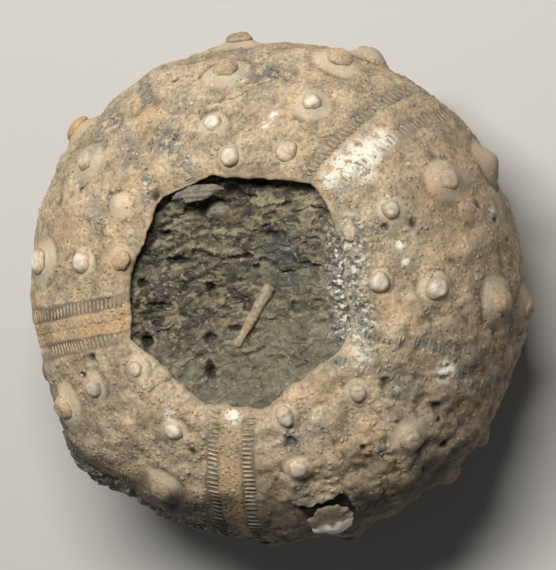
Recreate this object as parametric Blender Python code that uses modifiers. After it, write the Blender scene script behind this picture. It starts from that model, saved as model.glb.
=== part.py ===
"""Fossil sea urchin: a ball-shaped shell with its mouth open on top, filled with hardened sediment.

Metres, +Z up. The shell lies on its worn apical side, so the mouth faces up. The origin is on the
surface that it rests on, under the middle of the shell. Azimuths are degrees from +X towards +Y.
Distances "from the crown" are measured along the dome, from the point where its axis leaves it
on top, before the mouth is cut out.
"""
import math

import bmesh
import bpy
from mathutils import Matrix, Vector

# The dome: a squarish ellipse turned about Z
SHELL_RADIUS = 0.0211          # at the widest level, without the tubercles
WIDEST_LEVEL = 0.0122          # height of that level above the resting surface
UPPER_HEIGHT = 0.0130          # from the widest level up to the crown
LOWER_HEIGHT = 0.0126          # from the widest level down to the lower pole
SQUARENESS = 2.3               # exponent of the ellipse: 2 is a plain one, more is boxier
SHELL_WALL = 0.0012
GAP = 0.0003                   # between neighbouring pieces

# The mouth: an angular hole, given by the azimuth and radius of its corners
MOUTH_CORNERS = (
    (21, 0.0094), (45, 0.0106), (60, 0.0113), (106, 0.0110), (133, 0.0115), (173, 0.0103),
    (200, 0.0109), (221, 0.0094), (249, 0.0099), (279, 0.0098), (330, 0.0092), (344, 0.0098),
)
MOUTH_LIP = 0.00025            # how far the rounded edge of the wall bulges into the mouth
MOUTH_DISTANCE = 0.0102        # usual distance of the mouth's edge from the crown
APICAL_RADIUS = 0.0066         # round hole in the underside

# The five ambulacra: their azimuth at the crown and at the widest level
AMBULACRA = ((61, 49), (122, 126), (190, 191), (264, 264), (332, 346))
AMBULACRUM_WIDTH = 0.0046
AMBULACRUM_DEPTH = 0.00022

# The tubercles: two columns in each interambulacrum. Each tubercle has an azimuth and a distance
# from the crown; a column runs from the mouth to just below the widest level
TUBERCLE_COLUMNS = (
    ((7, 0.0116), (3, 0.0162), (359, 0.0226), (357, 0.0284)),
    ((31, 0.0106), (31, 0.0144), (31, 0.0202), (31, 0.0270)),
    ((74, 0.0128), (72, 0.0174), (72, 0.0234), (69, 0.0284)),
    ((96, 0.0118), (102, 0.0150), (98, 0.0202), (98, 0.0266)),
    ((145, 0.0134), (142, 0.0188), (141, 0.0262)),
    ((164, 0.0110), (169, 0.0148), (172, 0.0204), (173, 0.0300)),
    ((213, 0.0110), (210, 0.0158), (210, 0.0204), (210, 0.0286)),
    ((241, 0.0128), (244, 0.0190), (244, 0.0262)),
    ((290, 0.0104), (287, 0.0150), (288, 0.0206), (287, 0.0284)),
    ((321, 0.0124), (319, 0.0184), (315, 0.0270)),
)
APICAL_STEPS = (0.0068, 0.0070)    # from there on, the spacing of the tubercles of the underside
SMALL_BOSS = (0.0012, 0.0005)      # radius and height of a boss at the mouth
LARGE_BOSS = (0.0024, 0.0010)      # and from GROWN_DISTANCE on
GROWN_DISTANCE = 0.0210
GROWTH_POWER = 2                   # over 1, the bosses stay small for longer

# Where the outline departs from a round one: azimuth, half width in degrees, and radial shift
OUTLINE_SHIFTS = ((221, 10, 0.0021), (140, 30, 0.0004), (45, 15, 0.0003))

# The sediment inside: height of its rough top, how much it drops over its reach towards the
# azimuth where it lies deepest, and its low swells
SEDIMENT_TOP = 0.0219
SEDIMENT_SLOPE = 0.0005
SEDIMENT_REACH = 0.010
SEDIMENT_DEEP_SIDE = 125
SEDIMENT_TUCK = 0.0026         # how far it reaches outward under the shell, along the dome
SWELL_HEIGHT = 0.00015
SWELL_TURNS = (700, 900)       # radians per metre along X and Y
SWELL_START = (1.3, 0.4)

# Loose fragments
SPINE_ENDS = ((-0.0010, -0.0041), (0.0019, 0.0010))
SPINE_RADII = (0.00030, 0.00048)
PLATE_CENTRE = (-0.0040, 0.0087)
PLATE_SIZE = (0.0044, 0.0015, 0.0008)
PLATE_AZIMUTH = 11
PLATE_TILT = -12
PLATE_LEVEL = 0.0234
CHIP_AZIMUTH = 288.5
CHIP_DISTANCE = 0.0208
CHIP_SIZE = (0.0040, 0.0032, 0.0007)
CHIP_HOLLOW = 0.0005           # depth of the hollow that it sits in
HOLLOW_REACH = 0.7             # half size of the hollow, as a share of the chip's size
CHIP_LIFT = 10                 # degrees by which its lower edge stands off the shell

# Fineness of the facets
SHELL_STEPS = 96
SHELL_ROWS = 23
ROW_CROWDING = 1.1             # over 1, the rows are closer together near the mouth
LINING_ROWS = 11
SEDIMENT_STEPS = 48
SEDIMENT_RINGS = 5
SEDIMENT_ROWS = 9
PROFILE_STEPS = 720


def clear_scene():
    for item in list(bpy.data.objects):
        bpy.data.objects.remove(item, do_unlink=True)


def make_collection(name):
    collection = bpy.data.collections.new(name)
    bpy.context.scene.collection.children.link(collection)
    return collection


def make_material(name, colour, roughness):
    material = bpy.data.materials.new(name)
    material.use_nodes = True
    shader = material.node_tree.nodes["Principled BSDF"]
    shader.inputs["Base Color"].default_value = (*colour, 1.0)
    shader.inputs["Roughness"].default_value = roughness
    shader.inputs["Metallic"].default_value = 0.0
    return material


def dome_table():
    """Radius and height of the dome at close steps, each with its distance from the crown."""
    table = []
    distance = 0.0
    for step in range(PROFILE_STEPS + 1):
        angle = math.pi * step / PROFILE_STEPS
        across = max(math.sin(angle), 0.0) ** (2 / SQUARENESS)
        along = abs(math.cos(angle)) ** (2 / SQUARENESS)
        reach = UPPER_HEIGHT if angle < math.pi / 2 else -LOWER_HEIGHT
        point = (SHELL_RADIUS * across, WIDEST_LEVEL + reach * along)
        if table:
            distance += math.dist(point, table[-1][1:])
        table.append((distance, *point))
    return table


DOME = dome_table()


def dome_at(distance):
    """Radius, height and outward normal of the dome at a distance from the crown."""
    low, high = 0, len(DOME) - 1
    while high - low > 1:
        middle = (low + high) // 2
        if DOME[middle][0] > distance:
            high = middle
        else:
            low = middle
    start, end = DOME[low], DOME[high]
    part = (distance - start[0]) / (end[0] - start[0])
    radius = start[1] + part * (end[1] - start[1])
    height = start[2] + part * (end[2] - start[2])
    before, after = DOME[max(low - 6, 0)], DOME[min(high + 6, len(DOME) - 1)]
    run, drop = after[1] - before[1], before[2] - after[2]
    size = math.hypot(run, drop)
    return radius, height, drop / size, run / size


def distance_to_radius(radius):
    """Distance from the crown at which the upper dome has this radius."""
    for distance, reached, _ in DOME:
        if reached >= radius:
            return distance
    return DOME[len(DOME) // 2][0]


def mouth_radius(azimuth):
    """Radius of the mouth's edge: straight runs between its corners."""
    azimuth = azimuth % 360
    corners = [(angle, radius) for angle, radius in MOUTH_CORNERS]
    corners = [(corners[-1][0] - 360, corners[-1][1])] + corners
    corners.append((corners[1][0] + 360, corners[1][1]))
    for (angle_a, radius_a), (angle_b, radius_b) in zip(corners, corners[1:]):
        if angle_a <= azimuth <= angle_b:
            turn_a = math.radians(azimuth - angle_a)
            turn_b = math.radians(angle_b - azimuth)
            whole = math.sin(turn_a + turn_b)
            return radius_a * radius_b * whole / (
                radius_a * math.sin(turn_a) + radius_b * math.sin(turn_b))
    return MOUTH_CORNERS[0][1]


def turn_between(azimuth_a, azimuth_b):
    """Signed difference of two azimuths, from -180 to 180 degrees."""
    return (azimuth_a - azimuth_b + 180) % 360 - 180


WIDEST_DISTANCE = DOME[len(DOME) // 2][0]
APICAL_DISTANCE = DOME[-1][0] - APICAL_RADIUS


def tubercles():
    """Azimuth, distance from the crown, boss radius and boss height of every tubercle."""
    placed = []
    for column in TUBERCLE_COLUMNS:
        spots = list(column)
        for step in APICAL_STEPS:
            azimuth, distance = spots[-1]
            spots.append((azimuth, distance + step))
        for azimuth, distance in spots:
            growth = (distance - MOUTH_DISTANCE) / (GROWN_DISTANCE - MOUTH_DISTANCE)
            growth = min(max(growth, 0.0), 1.0) ** GROWTH_POWER
            radius = SMALL_BOSS[0] + growth * (LARGE_BOSS[0] - SMALL_BOSS[0])
            height = SMALL_BOSS[1] + growth * (LARGE_BOSS[1] - SMALL_BOSS[1])
            placed.append((azimuth, distance, radius, height))
    return placed


TUBERCLES = tubercles()


def relief(azimuth, distance):
    """Height of the outer surface over the plain dome: bosses, ambulacra, the chip's hollow."""
    around = math.radians(1) * dome_at(distance)[0]
    rise = 0.0
    for boss_azimuth, boss_distance, radius, height in TUBERCLES:
        aside = turn_between(azimuth, boss_azimuth) * around
        away = math.hypot(aside, distance - boss_distance) / radius
        if away < 1:
            rise = max(rise, height * (1 + math.cos(math.pi * away)) / 2)
    share = min(distance / WIDEST_DISTANCE, 1.0)
    for at_crown, at_widest in AMBULACRA:
        middle = at_crown + share * (at_widest - at_crown)
        aside = abs(turn_between(azimuth, middle)) * around
        if aside < AMBULACRUM_WIDTH / 2:
            rise -= AMBULACRUM_DEPTH * math.cos(math.pi * aside / AMBULACRUM_WIDTH)
    aside = turn_between(azimuth, CHIP_AZIMUTH) * around
    away = math.hypot(aside / CHIP_SIZE[0], (distance - CHIP_DISTANCE) / CHIP_SIZE[1])
    away /= HOLLOW_REACH
    if away < 1:
        rise = rise * away - CHIP_HOLLOW * (1 - away ** 2)
    return rise


def outline_shift(azimuth, height):
    """Radial shift of the wall where the outline isn't round, strongest at the widest level."""
    level = max(1 - abs(height - WIDEST_LEVEL) / WIDEST_LEVEL, 0.0)
    shift = 0.0
    for middle, half_width, size in OUTLINE_SHIFTS:
        shift += size * math.exp(-((turn_between(azimuth, middle) / half_width) ** 2))
    return shift * level


def shell_point(azimuth, share, depth, raised):
    """Point of the shell at a share of the way from the mouth to the hole in the underside."""
    mouth = distance_to_radius(mouth_radius(azimuth))
    distance = mouth + share * (APICAL_DISTANCE - mouth)
    radius, height, out, up = dome_at(distance)
    offset = (relief(azimuth, distance) if raised else 0.0) - depth
    radius += out * offset + outline_shift(azimuth, height)
    height += up * offset
    turn = math.radians(azimuth)
    return Vector((radius * math.cos(turn), radius * math.sin(turn), max(height, 0.0)))


def turned_mesh(name, profile, steps):
    """Turn a profile of (radius, height) points about Z with a Screw modifier."""
    mesh = bpy.data.meshes.new(name)
    builder = bmesh.new()
    points = [builder.verts.new((radius, 0, height)) for radius, height in profile]
    for start, end in zip(points, points[1:]):
        builder.edges.new((start, end))
    builder.to_mesh(mesh)
    builder.free()
    outline = bpy.data.objects.new(name + "_profile", mesh)
    bpy.context.scene.collection.objects.link(outline)
    screw = outline.modifiers.new("turn", "SCREW")
    screw.angle = math.tau
    screw.steps = steps
    screw.render_steps = steps
    screw.use_merge_vertices = False
    graph = bpy.context.evaluated_depsgraph_get()
    turned = bpy.data.meshes.new_from_object(outline.evaluated_get(graph))
    bpy.data.objects.remove(outline, do_unlink=True)
    return turned


def finish_mesh(mesh):
    """Weld the poles and make all faces point outwards."""
    builder = bmesh.new()
    builder.from_mesh(mesh)
    bmesh.ops.remove_doubles(builder, verts=builder.verts, dist=1e-6)
    bmesh.ops.recalc_face_normals(builder, faces=builder.faces)
    bmesh.ops.triangulate(builder, faces=builder.faces)
    builder.to_mesh(mesh)
    builder.free()
    mesh.shade_smooth()
    mesh.set_sharp_from_angle(angle=math.radians(50))


def make_object(name, mesh, collection, material):
    item = bpy.data.objects.new(name, mesh)
    collection.objects.link(item)
    mesh.materials.append(material)
    return item


def make_shell(collection, material):
    """The shell: outer wall with its bosses, rounded mouth edge and plain lining, one body."""
    lip = MOUTH_LIP / (APICAL_DISTANCE - MOUTH_DISTANCE)
    route = []
    for row in range(SHELL_ROWS + 1):
        share = row / SHELL_ROWS
        route.append((share ** ROW_CROWDING, 0.0, True))
    for row in range(LINING_ROWS, -1, -1):
        route.append((row / LINING_ROWS, SHELL_WALL, False))
    route.append((-lip, SHELL_WALL / 2, False))
    route.append(route[0])
    profile = []
    for share, depth, _ in route:
        corner = shell_point(0, share, depth, False)
        profile.append((corner.x, corner.z))
    mesh = turned_mesh("shell", profile, SHELL_STEPS)
    for vertex in mesh.vertices:
        azimuth = math.degrees(math.atan2(vertex.co.y, vertex.co.x))
        share, depth, raised = route[vertex.index % len(route)]
        vertex.co = shell_point(azimuth, share, depth, raised)
    finish_mesh(mesh)
    return make_object("shell", mesh, collection, material)


def sediment_level(x, y):
    """Height of the sediment's top: it slopes gently to its deep side, with low swells."""
    deep = math.radians(SEDIMENT_DEEP_SIDE)
    slope = (x * math.cos(deep) + y * math.sin(deep)) / SEDIMENT_REACH
    swell = math.sin(x * SWELL_TURNS[0] + SWELL_START[0])
    swell *= math.sin(y * SWELL_TURNS[1] + SWELL_START[1])
    return SEDIMENT_TOP - SEDIMENT_SLOPE * slope + SWELL_HEIGHT * swell


def sediment_edge(azimuth, share):
    """Point of the sediment's side, a gap inside the shell's lining."""
    mouth = distance_to_radius(mouth_radius(azimuth)) + SEDIMENT_TUCK
    distance = mouth + share * (APICAL_DISTANCE - mouth)
    radius, height, out, up = dome_at(distance)
    depth = SHELL_WALL + GAP
    radius += outline_shift(azimuth, height) - out * depth
    height -= up * depth
    turn = math.radians(azimuth)
    return Vector((radius * math.cos(turn), radius * math.sin(turn), height))


def make_sediment(collection, material):
    """The sediment: a rough top in the mouth, a side along the lining, a flat plug below."""
    plug = APICAL_RADIUS - GAP
    route = [("top", ring / SEDIMENT_RINGS) for ring in range(SEDIMENT_RINGS)]
    route += [("side", row / SEDIMENT_ROWS) for row in range(SEDIMENT_ROWS)]
    route += [("plug", SHELL_WALL + GAP), ("plug", 0.0), ("base", 0.0)]
    profile = [(0.0 if kind == "base" else 0.001 * place, 0.001 * (len(route) - place))
               for place, (kind, _) in enumerate(route)]
    mesh = turned_mesh("sediment_infill", profile, SEDIMENT_STEPS)
    for vertex in mesh.vertices:
        step = vertex.index // len(route)
        azimuth = 360 * step / SEDIMENT_STEPS
        turn = math.radians(azimuth)
        kind, value = route[vertex.index % len(route)]
        if kind == "top":
            edge = sediment_edge(azimuth, 0)
            spot = edge * value
            blend = value ** 4
            spot.z = sediment_level(spot.x, spot.y) * (1 - blend) + edge.z * blend
            vertex.co = spot
        elif kind == "side":
            vertex.co = sediment_edge(azimuth, value)
        elif kind == "plug":
            vertex.co = (plug * math.cos(turn), plug * math.sin(turn), value)
        else:
            vertex.co = (0, 0, value)
    finish_mesh(mesh)
    return make_object("sediment_infill", mesh, collection, material)


def make_spine(collection, material):
    """A broken length of spine, lying on the sediment: a flattened, tapered rod."""
    start = Vector((*SPINE_ENDS[0], 0))
    end = Vector((*SPINE_ENDS[1], 0))
    thickest = max(SPINE_RADII)
    for point in (start, end):
        point.z = sediment_level(point.x, point.y) + GAP + thickest
    builder = bmesh.new()
    bmesh.ops.create_cone(builder, cap_ends=True, segments=10, radius1=SPINE_RADII[0],
                          radius2=SPINE_RADII[1], depth=(end - start).length)
    mesh = bpy.data.meshes.new("spine_fragment")
    builder.to_mesh(mesh)
    builder.free()
    finish_mesh(mesh)
    item = make_object("spine_fragment", mesh, collection, material)
    item.location = (start + end) / 2
    item.rotation_euler = (end - start).to_track_quat("Z", "X").to_euler()
    return item


def lens_mesh(name, size):
    """A lens-shaped flake: a ball flattened to its length, width and thickness."""
    builder = bmesh.new()
    bmesh.ops.create_uvsphere(builder, u_segments=12, v_segments=6, radius=0.5)
    bmesh.ops.scale(builder, vec=size, verts=builder.verts)
    mesh = bpy.data.meshes.new(name)
    builder.to_mesh(mesh)
    builder.free()
    finish_mesh(mesh)
    return mesh


def make_rim_plate(collection, material):
    """A plate that slipped out of the mouth's edge and lies in its angular corner."""
    item = make_object("rim_plate", lens_mesh("rim_plate", PLATE_SIZE), collection, material)
    item.location = (*PLATE_CENTRE, PLATE_LEVEL)
    item.rotation_euler = (math.radians(PLATE_TILT), 0, math.radians(PLATE_AZIMUTH))
    return item


def make_shell_chip(collection, material):
    """A broken plate of the wall, sprung loose, with its lower edge standing off the shell."""
    item = make_object("shell_chip", lens_mesh("shell_chip", CHIP_SIZE), collection, material)
    radius, height, out, up = dome_at(CHIP_DISTANCE)
    turn = math.radians(CHIP_AZIMUTH)
    outward = Vector((out * math.cos(turn), out * math.sin(turn), up))
    sideways = Vector((-math.sin(turn), math.cos(turn), 0))
    uphill = outward.cross(sideways)
    axes = Matrix((sideways, uphill, outward)).transposed()
    tilt = Matrix.Rotation(math.radians(-CHIP_LIFT), 3, "X")
    stand_off = GAP + CHIP_SIZE[2] / 2 - CHIP_HOLLOW
    stand_off += CHIP_SIZE[1] / 2 * math.sin(math.radians(CHIP_LIFT))
    item.location = Vector((radius * math.cos(turn), radius * math.sin(turn), height))
    item.location += outward * stand_off
    item.rotation_euler = (axes @ tilt).to_euler()
    return item


def main():
    clear_scene()
    urchin = make_collection("fossil_sea_urchin")
    shell = make_material("shell_calcite", (0.46, 0.34, 0.22), 0.75)
    sediment = make_material("sediment", (0.13, 0.11, 0.08), 0.9)
    fragment = make_material("fragment_calcite", (0.42, 0.34, 0.24), 0.7)
    make_shell(urchin, shell)
    make_sediment(urchin, sediment)
    make_spine(urchin, fragment)
    make_rim_plate(urchin, fragment)
    make_shell_chip(urchin, fragment)


main()
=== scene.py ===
# %% [markdown]
# # A fossil sea urchin, from a imported frame to its final look
#
# A sea urchin's shell is a hollow ball of small calcite plates. This one lost its spines, filled
# with sediment, turned to stone and was dug out again. It lies with its mouth, the angular hole,
# facing up. The imported part gives the sizes. Everything below only adds what a magnifier shows:
# tubercles with their knobs, grains, the ladders of pores, cracks, crust, stains and painted shade.
#
# Units are metres, and angles are degrees from +X towards +Y. "Distance" is measured along the
# dome, from the point on top where its axis leaves it.

import itertools
import math

import bpy
import numpy as np
from mathutils import Matrix, Vector


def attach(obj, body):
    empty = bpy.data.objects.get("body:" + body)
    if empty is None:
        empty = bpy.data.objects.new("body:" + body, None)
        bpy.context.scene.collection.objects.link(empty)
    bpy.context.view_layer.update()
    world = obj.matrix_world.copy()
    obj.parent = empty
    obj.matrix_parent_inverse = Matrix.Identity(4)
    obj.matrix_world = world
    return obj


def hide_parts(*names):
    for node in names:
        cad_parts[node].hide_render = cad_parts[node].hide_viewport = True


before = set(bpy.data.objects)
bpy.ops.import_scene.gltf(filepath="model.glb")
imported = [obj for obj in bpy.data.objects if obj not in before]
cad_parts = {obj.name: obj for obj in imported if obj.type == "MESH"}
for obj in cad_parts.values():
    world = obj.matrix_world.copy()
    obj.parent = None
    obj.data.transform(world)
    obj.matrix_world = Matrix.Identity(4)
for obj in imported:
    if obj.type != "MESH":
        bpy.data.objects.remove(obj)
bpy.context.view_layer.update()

# %% [markdown]
# ## Roughness made by hand
#
# Weathering is random, but it has to be the same each time. Noise in plain array code does that:
# random slopes sit on a grid, and a point blends the eight slopes round it. Layers of it, each
# finer and weaker, look like eroded rock. A second kind measures how far each point is from
# scattered centres, which gives lumps with cracks between them.

# %% Noise helpers
draw = np.random.default_rng(11)
SHUFFLE = draw.permutation(256)
SLOPES = draw.normal(size=(256, 3))
SLOPES /= np.linalg.norm(SLOPES, axis=1)[:, None]
JITTER = draw.random((256, 3))
CORNERS = np.array(list(itertools.product((0, 1), repeat=3)))
NEIGHBOURS = np.array(list(itertools.product((-1, 0, 1), repeat=3)))


def grid_key(cell):
    """A repeatable random number from 0 to 255 for each cell of the grid."""
    key = SHUFFLE[cell[..., 0] & 255]
    key = SHUFFLE[(key + cell[..., 1]) & 255]
    return SHUFFLE[(key + cell[..., 2]) & 255]


def noise(points, size, seed=0):
    """Smooth random value from about -1 to 1, with swells about as wide as size."""
    place = points / size + 13.7 * seed
    cell = np.floor(place).astype(int)
    part = place - cell
    fade = part ** 3 * (part * (part * 6 - 15) + 10)
    total = np.zeros(points.shape[:-1])
    for corner in CORNERS:
        slope = SLOPES[grid_key(cell + corner)]
        weight = np.prod(np.where(corner, fade, 1 - fade), axis=-1)
        total += weight * np.sum(slope * (part - corner), axis=-1)
    return total * 1.7


def layers(points, size, count, seed=0):
    """Noise on noise: each layer is half as wide and half as strong."""
    return sum(noise(points, size / 2 ** layer, seed + layer) / 2 ** layer
               for layer in range(count))


def lumps(points, size, seed=0):
    """Distance to the nearest scattered centre, and how much farther the second one is."""
    place = points / size + 7.3 * seed
    cell = np.floor(place).astype(int)
    nearest = np.full(points.shape[:-1], 9.0)
    second = nearest.copy()
    for offset in NEIGHBOURS:
        there = cell + offset
        gone = np.linalg.norm(there + JITTER[grid_key(there)] - place, axis=-1)
        second = np.minimum(second, np.maximum(nearest, gone))
        nearest = np.minimum(nearest, gone)
    return nearest, second - nearest


def ease(low, high, value):
    """0 below low, 1 above high and a smooth ramp between."""
    part = np.clip((value - low) / (high - low), 0, 1)
    return part * part * (3 - 2 * part)


def knoll(away):
    """A smooth hill: 1 in the middle and 0 from 1 on."""
    return np.clip(1 - np.asarray(away) ** 2, 0, 1) ** 2


def blurred(grid, passes):
    """The grid with its fine detail averaged away. Columns go round, rows end at the edges."""
    for _ in range(passes):
        above = np.vstack((grid[:1], grid[:-1]))
        below = np.vstack((grid[1:], grid[-1:]))
        grid = (2 * grid + np.roll(grid, 1, 1) + np.roll(grid, -1, 1) + above + below) / 6
    return grid


# %% [markdown]
# ## The dome
#
# The shell follows a rule: a squarish ellipse turned about Z. The same few sizes as in the packed
# part drive it, so every detail lands where its solid is. A table of the profile, read by
# interpolation, gives radius, height and outward direction at any distance from the crown.

# %% The dome's profile
SHELL_RADIUS = 0.0211
WIDEST_LEVEL = 0.0122
UPPER_HEIGHT = 0.0130
LOWER_HEIGHT = 0.0126
SQUARENESS = 2.3
SHELL_WALL = 0.0012
APICAL_RADIUS = 0.0066
GAP = 0.0003

profile_angle = np.linspace(0, np.pi, 4001)
profile_radius = SHELL_RADIUS * np.abs(np.sin(profile_angle)) ** (2 / SQUARENESS)
profile_reach = np.where(profile_angle < np.pi / 2, UPPER_HEIGHT, -LOWER_HEIGHT)
profile_height = WIDEST_LEVEL + profile_reach * np.abs(np.cos(profile_angle)) ** (2 / SQUARENESS)
profile_run = np.hypot(np.diff(profile_radius), np.diff(profile_height))
profile_distance = np.concatenate(([0], np.cumsum(profile_run)))
WIDEST_DISTANCE = profile_distance[len(profile_distance) // 2]
APICAL_DISTANCE = profile_distance[-1] - APICAL_RADIUS
print("from crown to widest level, mm:", round(1000 * WIDEST_DISTANCE, 1))


def dome(distance):
    """Radius, height, and the outward direction's horizontal and upward shares."""
    step = 0.0001
    radius = np.interp(distance, profile_distance, profile_radius)
    height = np.interp(distance, profile_distance, profile_height)
    run = np.interp(distance + step, profile_distance, profile_radius) \
        - np.interp(distance - step, profile_distance, profile_radius)
    drop = np.interp(distance - step, profile_distance, profile_height) \
        - np.interp(distance + step, profile_distance, profile_height)
    size = np.hypot(run, drop)
    return radius, height, drop / size, run / size


# %% The mouth, the five ambulacra and the outline's bulges
MOUTH_CORNERS = (   # azimuth, radius
    (21, 0.0094), (45, 0.0106), (60, 0.0113), (106, 0.0110), (133, 0.0115), (173, 0.0103),
    (200, 0.0109), (221, 0.0094), (249, 0.0099), (279, 0.0098), (330, 0.0092), (344, 0.0098),
)
# Azimuths of each ambulacrum's middle, at the crown and at the widest level
AMBULACRA = ((61, 49), (122, 126), (190, 191), (264, 264), (332, 346))
AMBULACRUM_KEPT = (0.45, 0.15, 1.0, 0.9, 0.2)     # how much of its relief each has kept
OUTLINE_SHIFTS = ((221, 10, 0.0021), (140, 30, 0.0004), (45, 15, 0.0003))


def turn_between(azimuth_a, azimuth_b):
    """Signed difference of two azimuths, from -180 to 180 degrees."""
    return (azimuth_a - azimuth_b + 180) % 360 - 180


def mouth_distance(azimuth):
    """Distance from the crown to the mouth's edge: straight runs between corners, a little worn."""
    corners = np.array(MOUTH_CORNERS)
    turns = np.radians(corners[:, 0])
    places = np.stack((corners[:, 1] * np.cos(turns), corners[:, 1] * np.sin(turns)), 1)
    edge = np.zeros_like(azimuth, dtype=float)
    aim = np.stack((np.cos(np.radians(azimuth)), np.sin(np.radians(azimuth))), -1)
    for here, ahead in zip(places, np.roll(places, -1, axis=0)):
        side = ahead - here
        across = aim[..., 0] * side[1] - aim[..., 1] * side[0]
        reach = (here[0] * side[1] - here[1] * side[0]) / np.where(across == 0, 1, across)
        along = (reach[..., None] * aim - here) @ side / (side @ side)
        edge = np.where((along >= -1e-9) & (along <= 1 + 1e-9) & (reach > 0), reach, edge)
    ring = 0.010 * np.concatenate((aim, np.zeros_like(aim[..., :1])), -1)
    edge = edge + 0.00022 * noise(ring, 0.0026, 5) + 0.00012 * layers(ring, 0.0010, 2, 6)
    upper = slice(0, len(profile_radius) // 2)
    return np.interp(edge, profile_radius[upper], profile_distance[upper])


def outline_shift(azimuth, height):
    """Radial shift of the wall where the outline isn't round, strongest at the widest level."""
    level = np.clip(1 - np.abs(height - WIDEST_LEVEL) / WIDEST_LEVEL, 0, 1)
    return level * sum(size * np.exp(-((turn_between(azimuth, middle) / half) ** 2))
                       for middle, half, size in OUTLINE_SHIFTS)


def on_dome(azimuth, distance, lift):
    """Points at a lift above the plain dome. Nothing goes below the surface it rests on."""
    radius, height, out, up = dome(distance)
    turn = np.radians(azimuth)
    radius = radius + out * lift + outline_shift(azimuth, height)
    height = np.maximum(height + up * lift, 0)
    return np.stack((radius * np.cos(turn), radius * np.sin(turn), height), -1)


def outward(azimuth, distance):
    """Unit vectors that leave the dome at right angles."""
    _, _, out, up = dome(distance)
    turn = np.radians(azimuth)
    return np.stack((out * np.cos(turn), out * np.sin(turn), up), -1)


# %% [markdown]
# ## Where the tubercles are
#
# A tubercle is a broad boss with a small knob on top, on which a spine once turned. They stand in
# two columns between neighbouring ambulacra, small at the mouth and large at the widest level.
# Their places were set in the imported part. The third number says how white the worn knob is.

# %% Tubercles
TUBERCLE_COLUMNS = (   # azimuth, distance, whiteness of the knob
    ((7, 0.0116, 0.7), (3, 0.0162, 1.0), (359, 0.0226, 0.1), (357, 0.0284, 0.2)),
    ((31, 0.0106, 0.3), (31, 0.0144, 0.6), (31, 0.0202, 0.5), (31, 0.0270, 0.2)),
    ((74, 0.0128, 0.5), (72, 0.0174, 0.9), (72, 0.0234, 0.2), (69, 0.0284, 0.2)),
    ((96, 0.0118, 0.7), (102, 0.0150, 0.9), (98, 0.0202, 0.1), (98, 0.0266, 0.1)),
    ((145, 0.0134, 0.1), (142, 0.0188, 0.5), (141, 0.0262, 0.0)),
    ((164, 0.0110, 0.2), (169, 0.0148, 0.7), (172, 0.0204, 0.9), (173, 0.0300, 0.1)),
    ((213, 0.0110, 0.6), (210, 0.0158, 0.5), (210, 0.0204, 0.2), (210, 0.0286, 0.1)),
    ((241, 0.0128, 0.9), (244, 0.0190, 0.3), (244, 0.0262, 0.1)),
    ((290, 0.0104, 0.6), (287, 0.0150, 0.7), (288, 0.0206, 0.0), (287, 0.0284, 0.1)),
    ((321, 0.0124, 0.5), (319, 0.0184, 0.4), (315, 0.0270, 0.1)),
)
APICAL_STEPS = (0.0068, 0.0070)
SMALL_BOSS = (0.0012, 0.0005)
LARGE_BOSS = (0.0024, 0.0010)
GROWTH_START = 0.0102
GROWTH_END = 0.0210
CHIP_AZIMUTH = 288.5
CHIP_DISTANCE = 0.0208
CHIP_SIZE = (0.0040, 0.0032, 0.0007)
CHIP_HOLLOW = 0.0005

tubercles = []
for column in TUBERCLE_COLUMNS:
    spots = list(column)
    for step in APICAL_STEPS:
        spots.append((spots[-1][0], spots[-1][1] + step, 0.1))
    for azimuth, distance, white in spots:
        growth = min(max((distance - GROWTH_START) / (GROWTH_END - GROWTH_START), 0), 1) ** 2
        boss_radius = SMALL_BOSS[0] + growth * (LARGE_BOSS[0] - SMALL_BOSS[0])
        boss_height = SMALL_BOSS[1] + growth * (LARGE_BOSS[1] - SMALL_BOSS[1])
        tubercles.append((azimuth, distance, boss_radius, boss_height, white))
print("tubercles:", len(tubercles))

# %% [markdown]
# ## The relief of the shell
#
# One function gives the height of the outer surface over the plain dome, from its azimuth and its
# distance: bosses in sunken rings, furrows along the ambulacra, sutures between the plates,
# weathering and single pits. It also gives masks from 0 to 1, which the material reads later to
# colour the pore bands, the crust, the white calcite, the stain and the painted shade.

# %% The ambulacra's pore bands
AMBULACRUM_WIDTH = 0.0046
AMBULACRUM_DEPTH = 0.00022
PERRADIAL_HALF = 0.00098
RUNG_LENGTHS = (0.00105, 0.00145)     # at the mouth and at the widest level
PORE_DEPTH = 0.00007


def ambulacrum_middle(ambulacrum, distance):
    """Azimuth of an ambulacrum's middle line at a distance from the crown."""
    at_crown, at_widest = ambulacrum
    return at_crown + np.minimum(distance / WIDEST_DISTANCE, 1) * (at_widest - at_crown)


def rung_length(distance):
    return np.interp(distance, (0.010, WIDEST_DISTANCE, APICAL_DISTANCE),
                     (RUNG_LENGTHS[0], RUNG_LENGTHS[1], RUNG_LENGTHS[0]))


def pore_offset(distance):
    """How far the middle of a pore band lies from the middle of its ambulacrum."""
    return PERRADIAL_HALF + rung_length(distance) / 2


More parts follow.
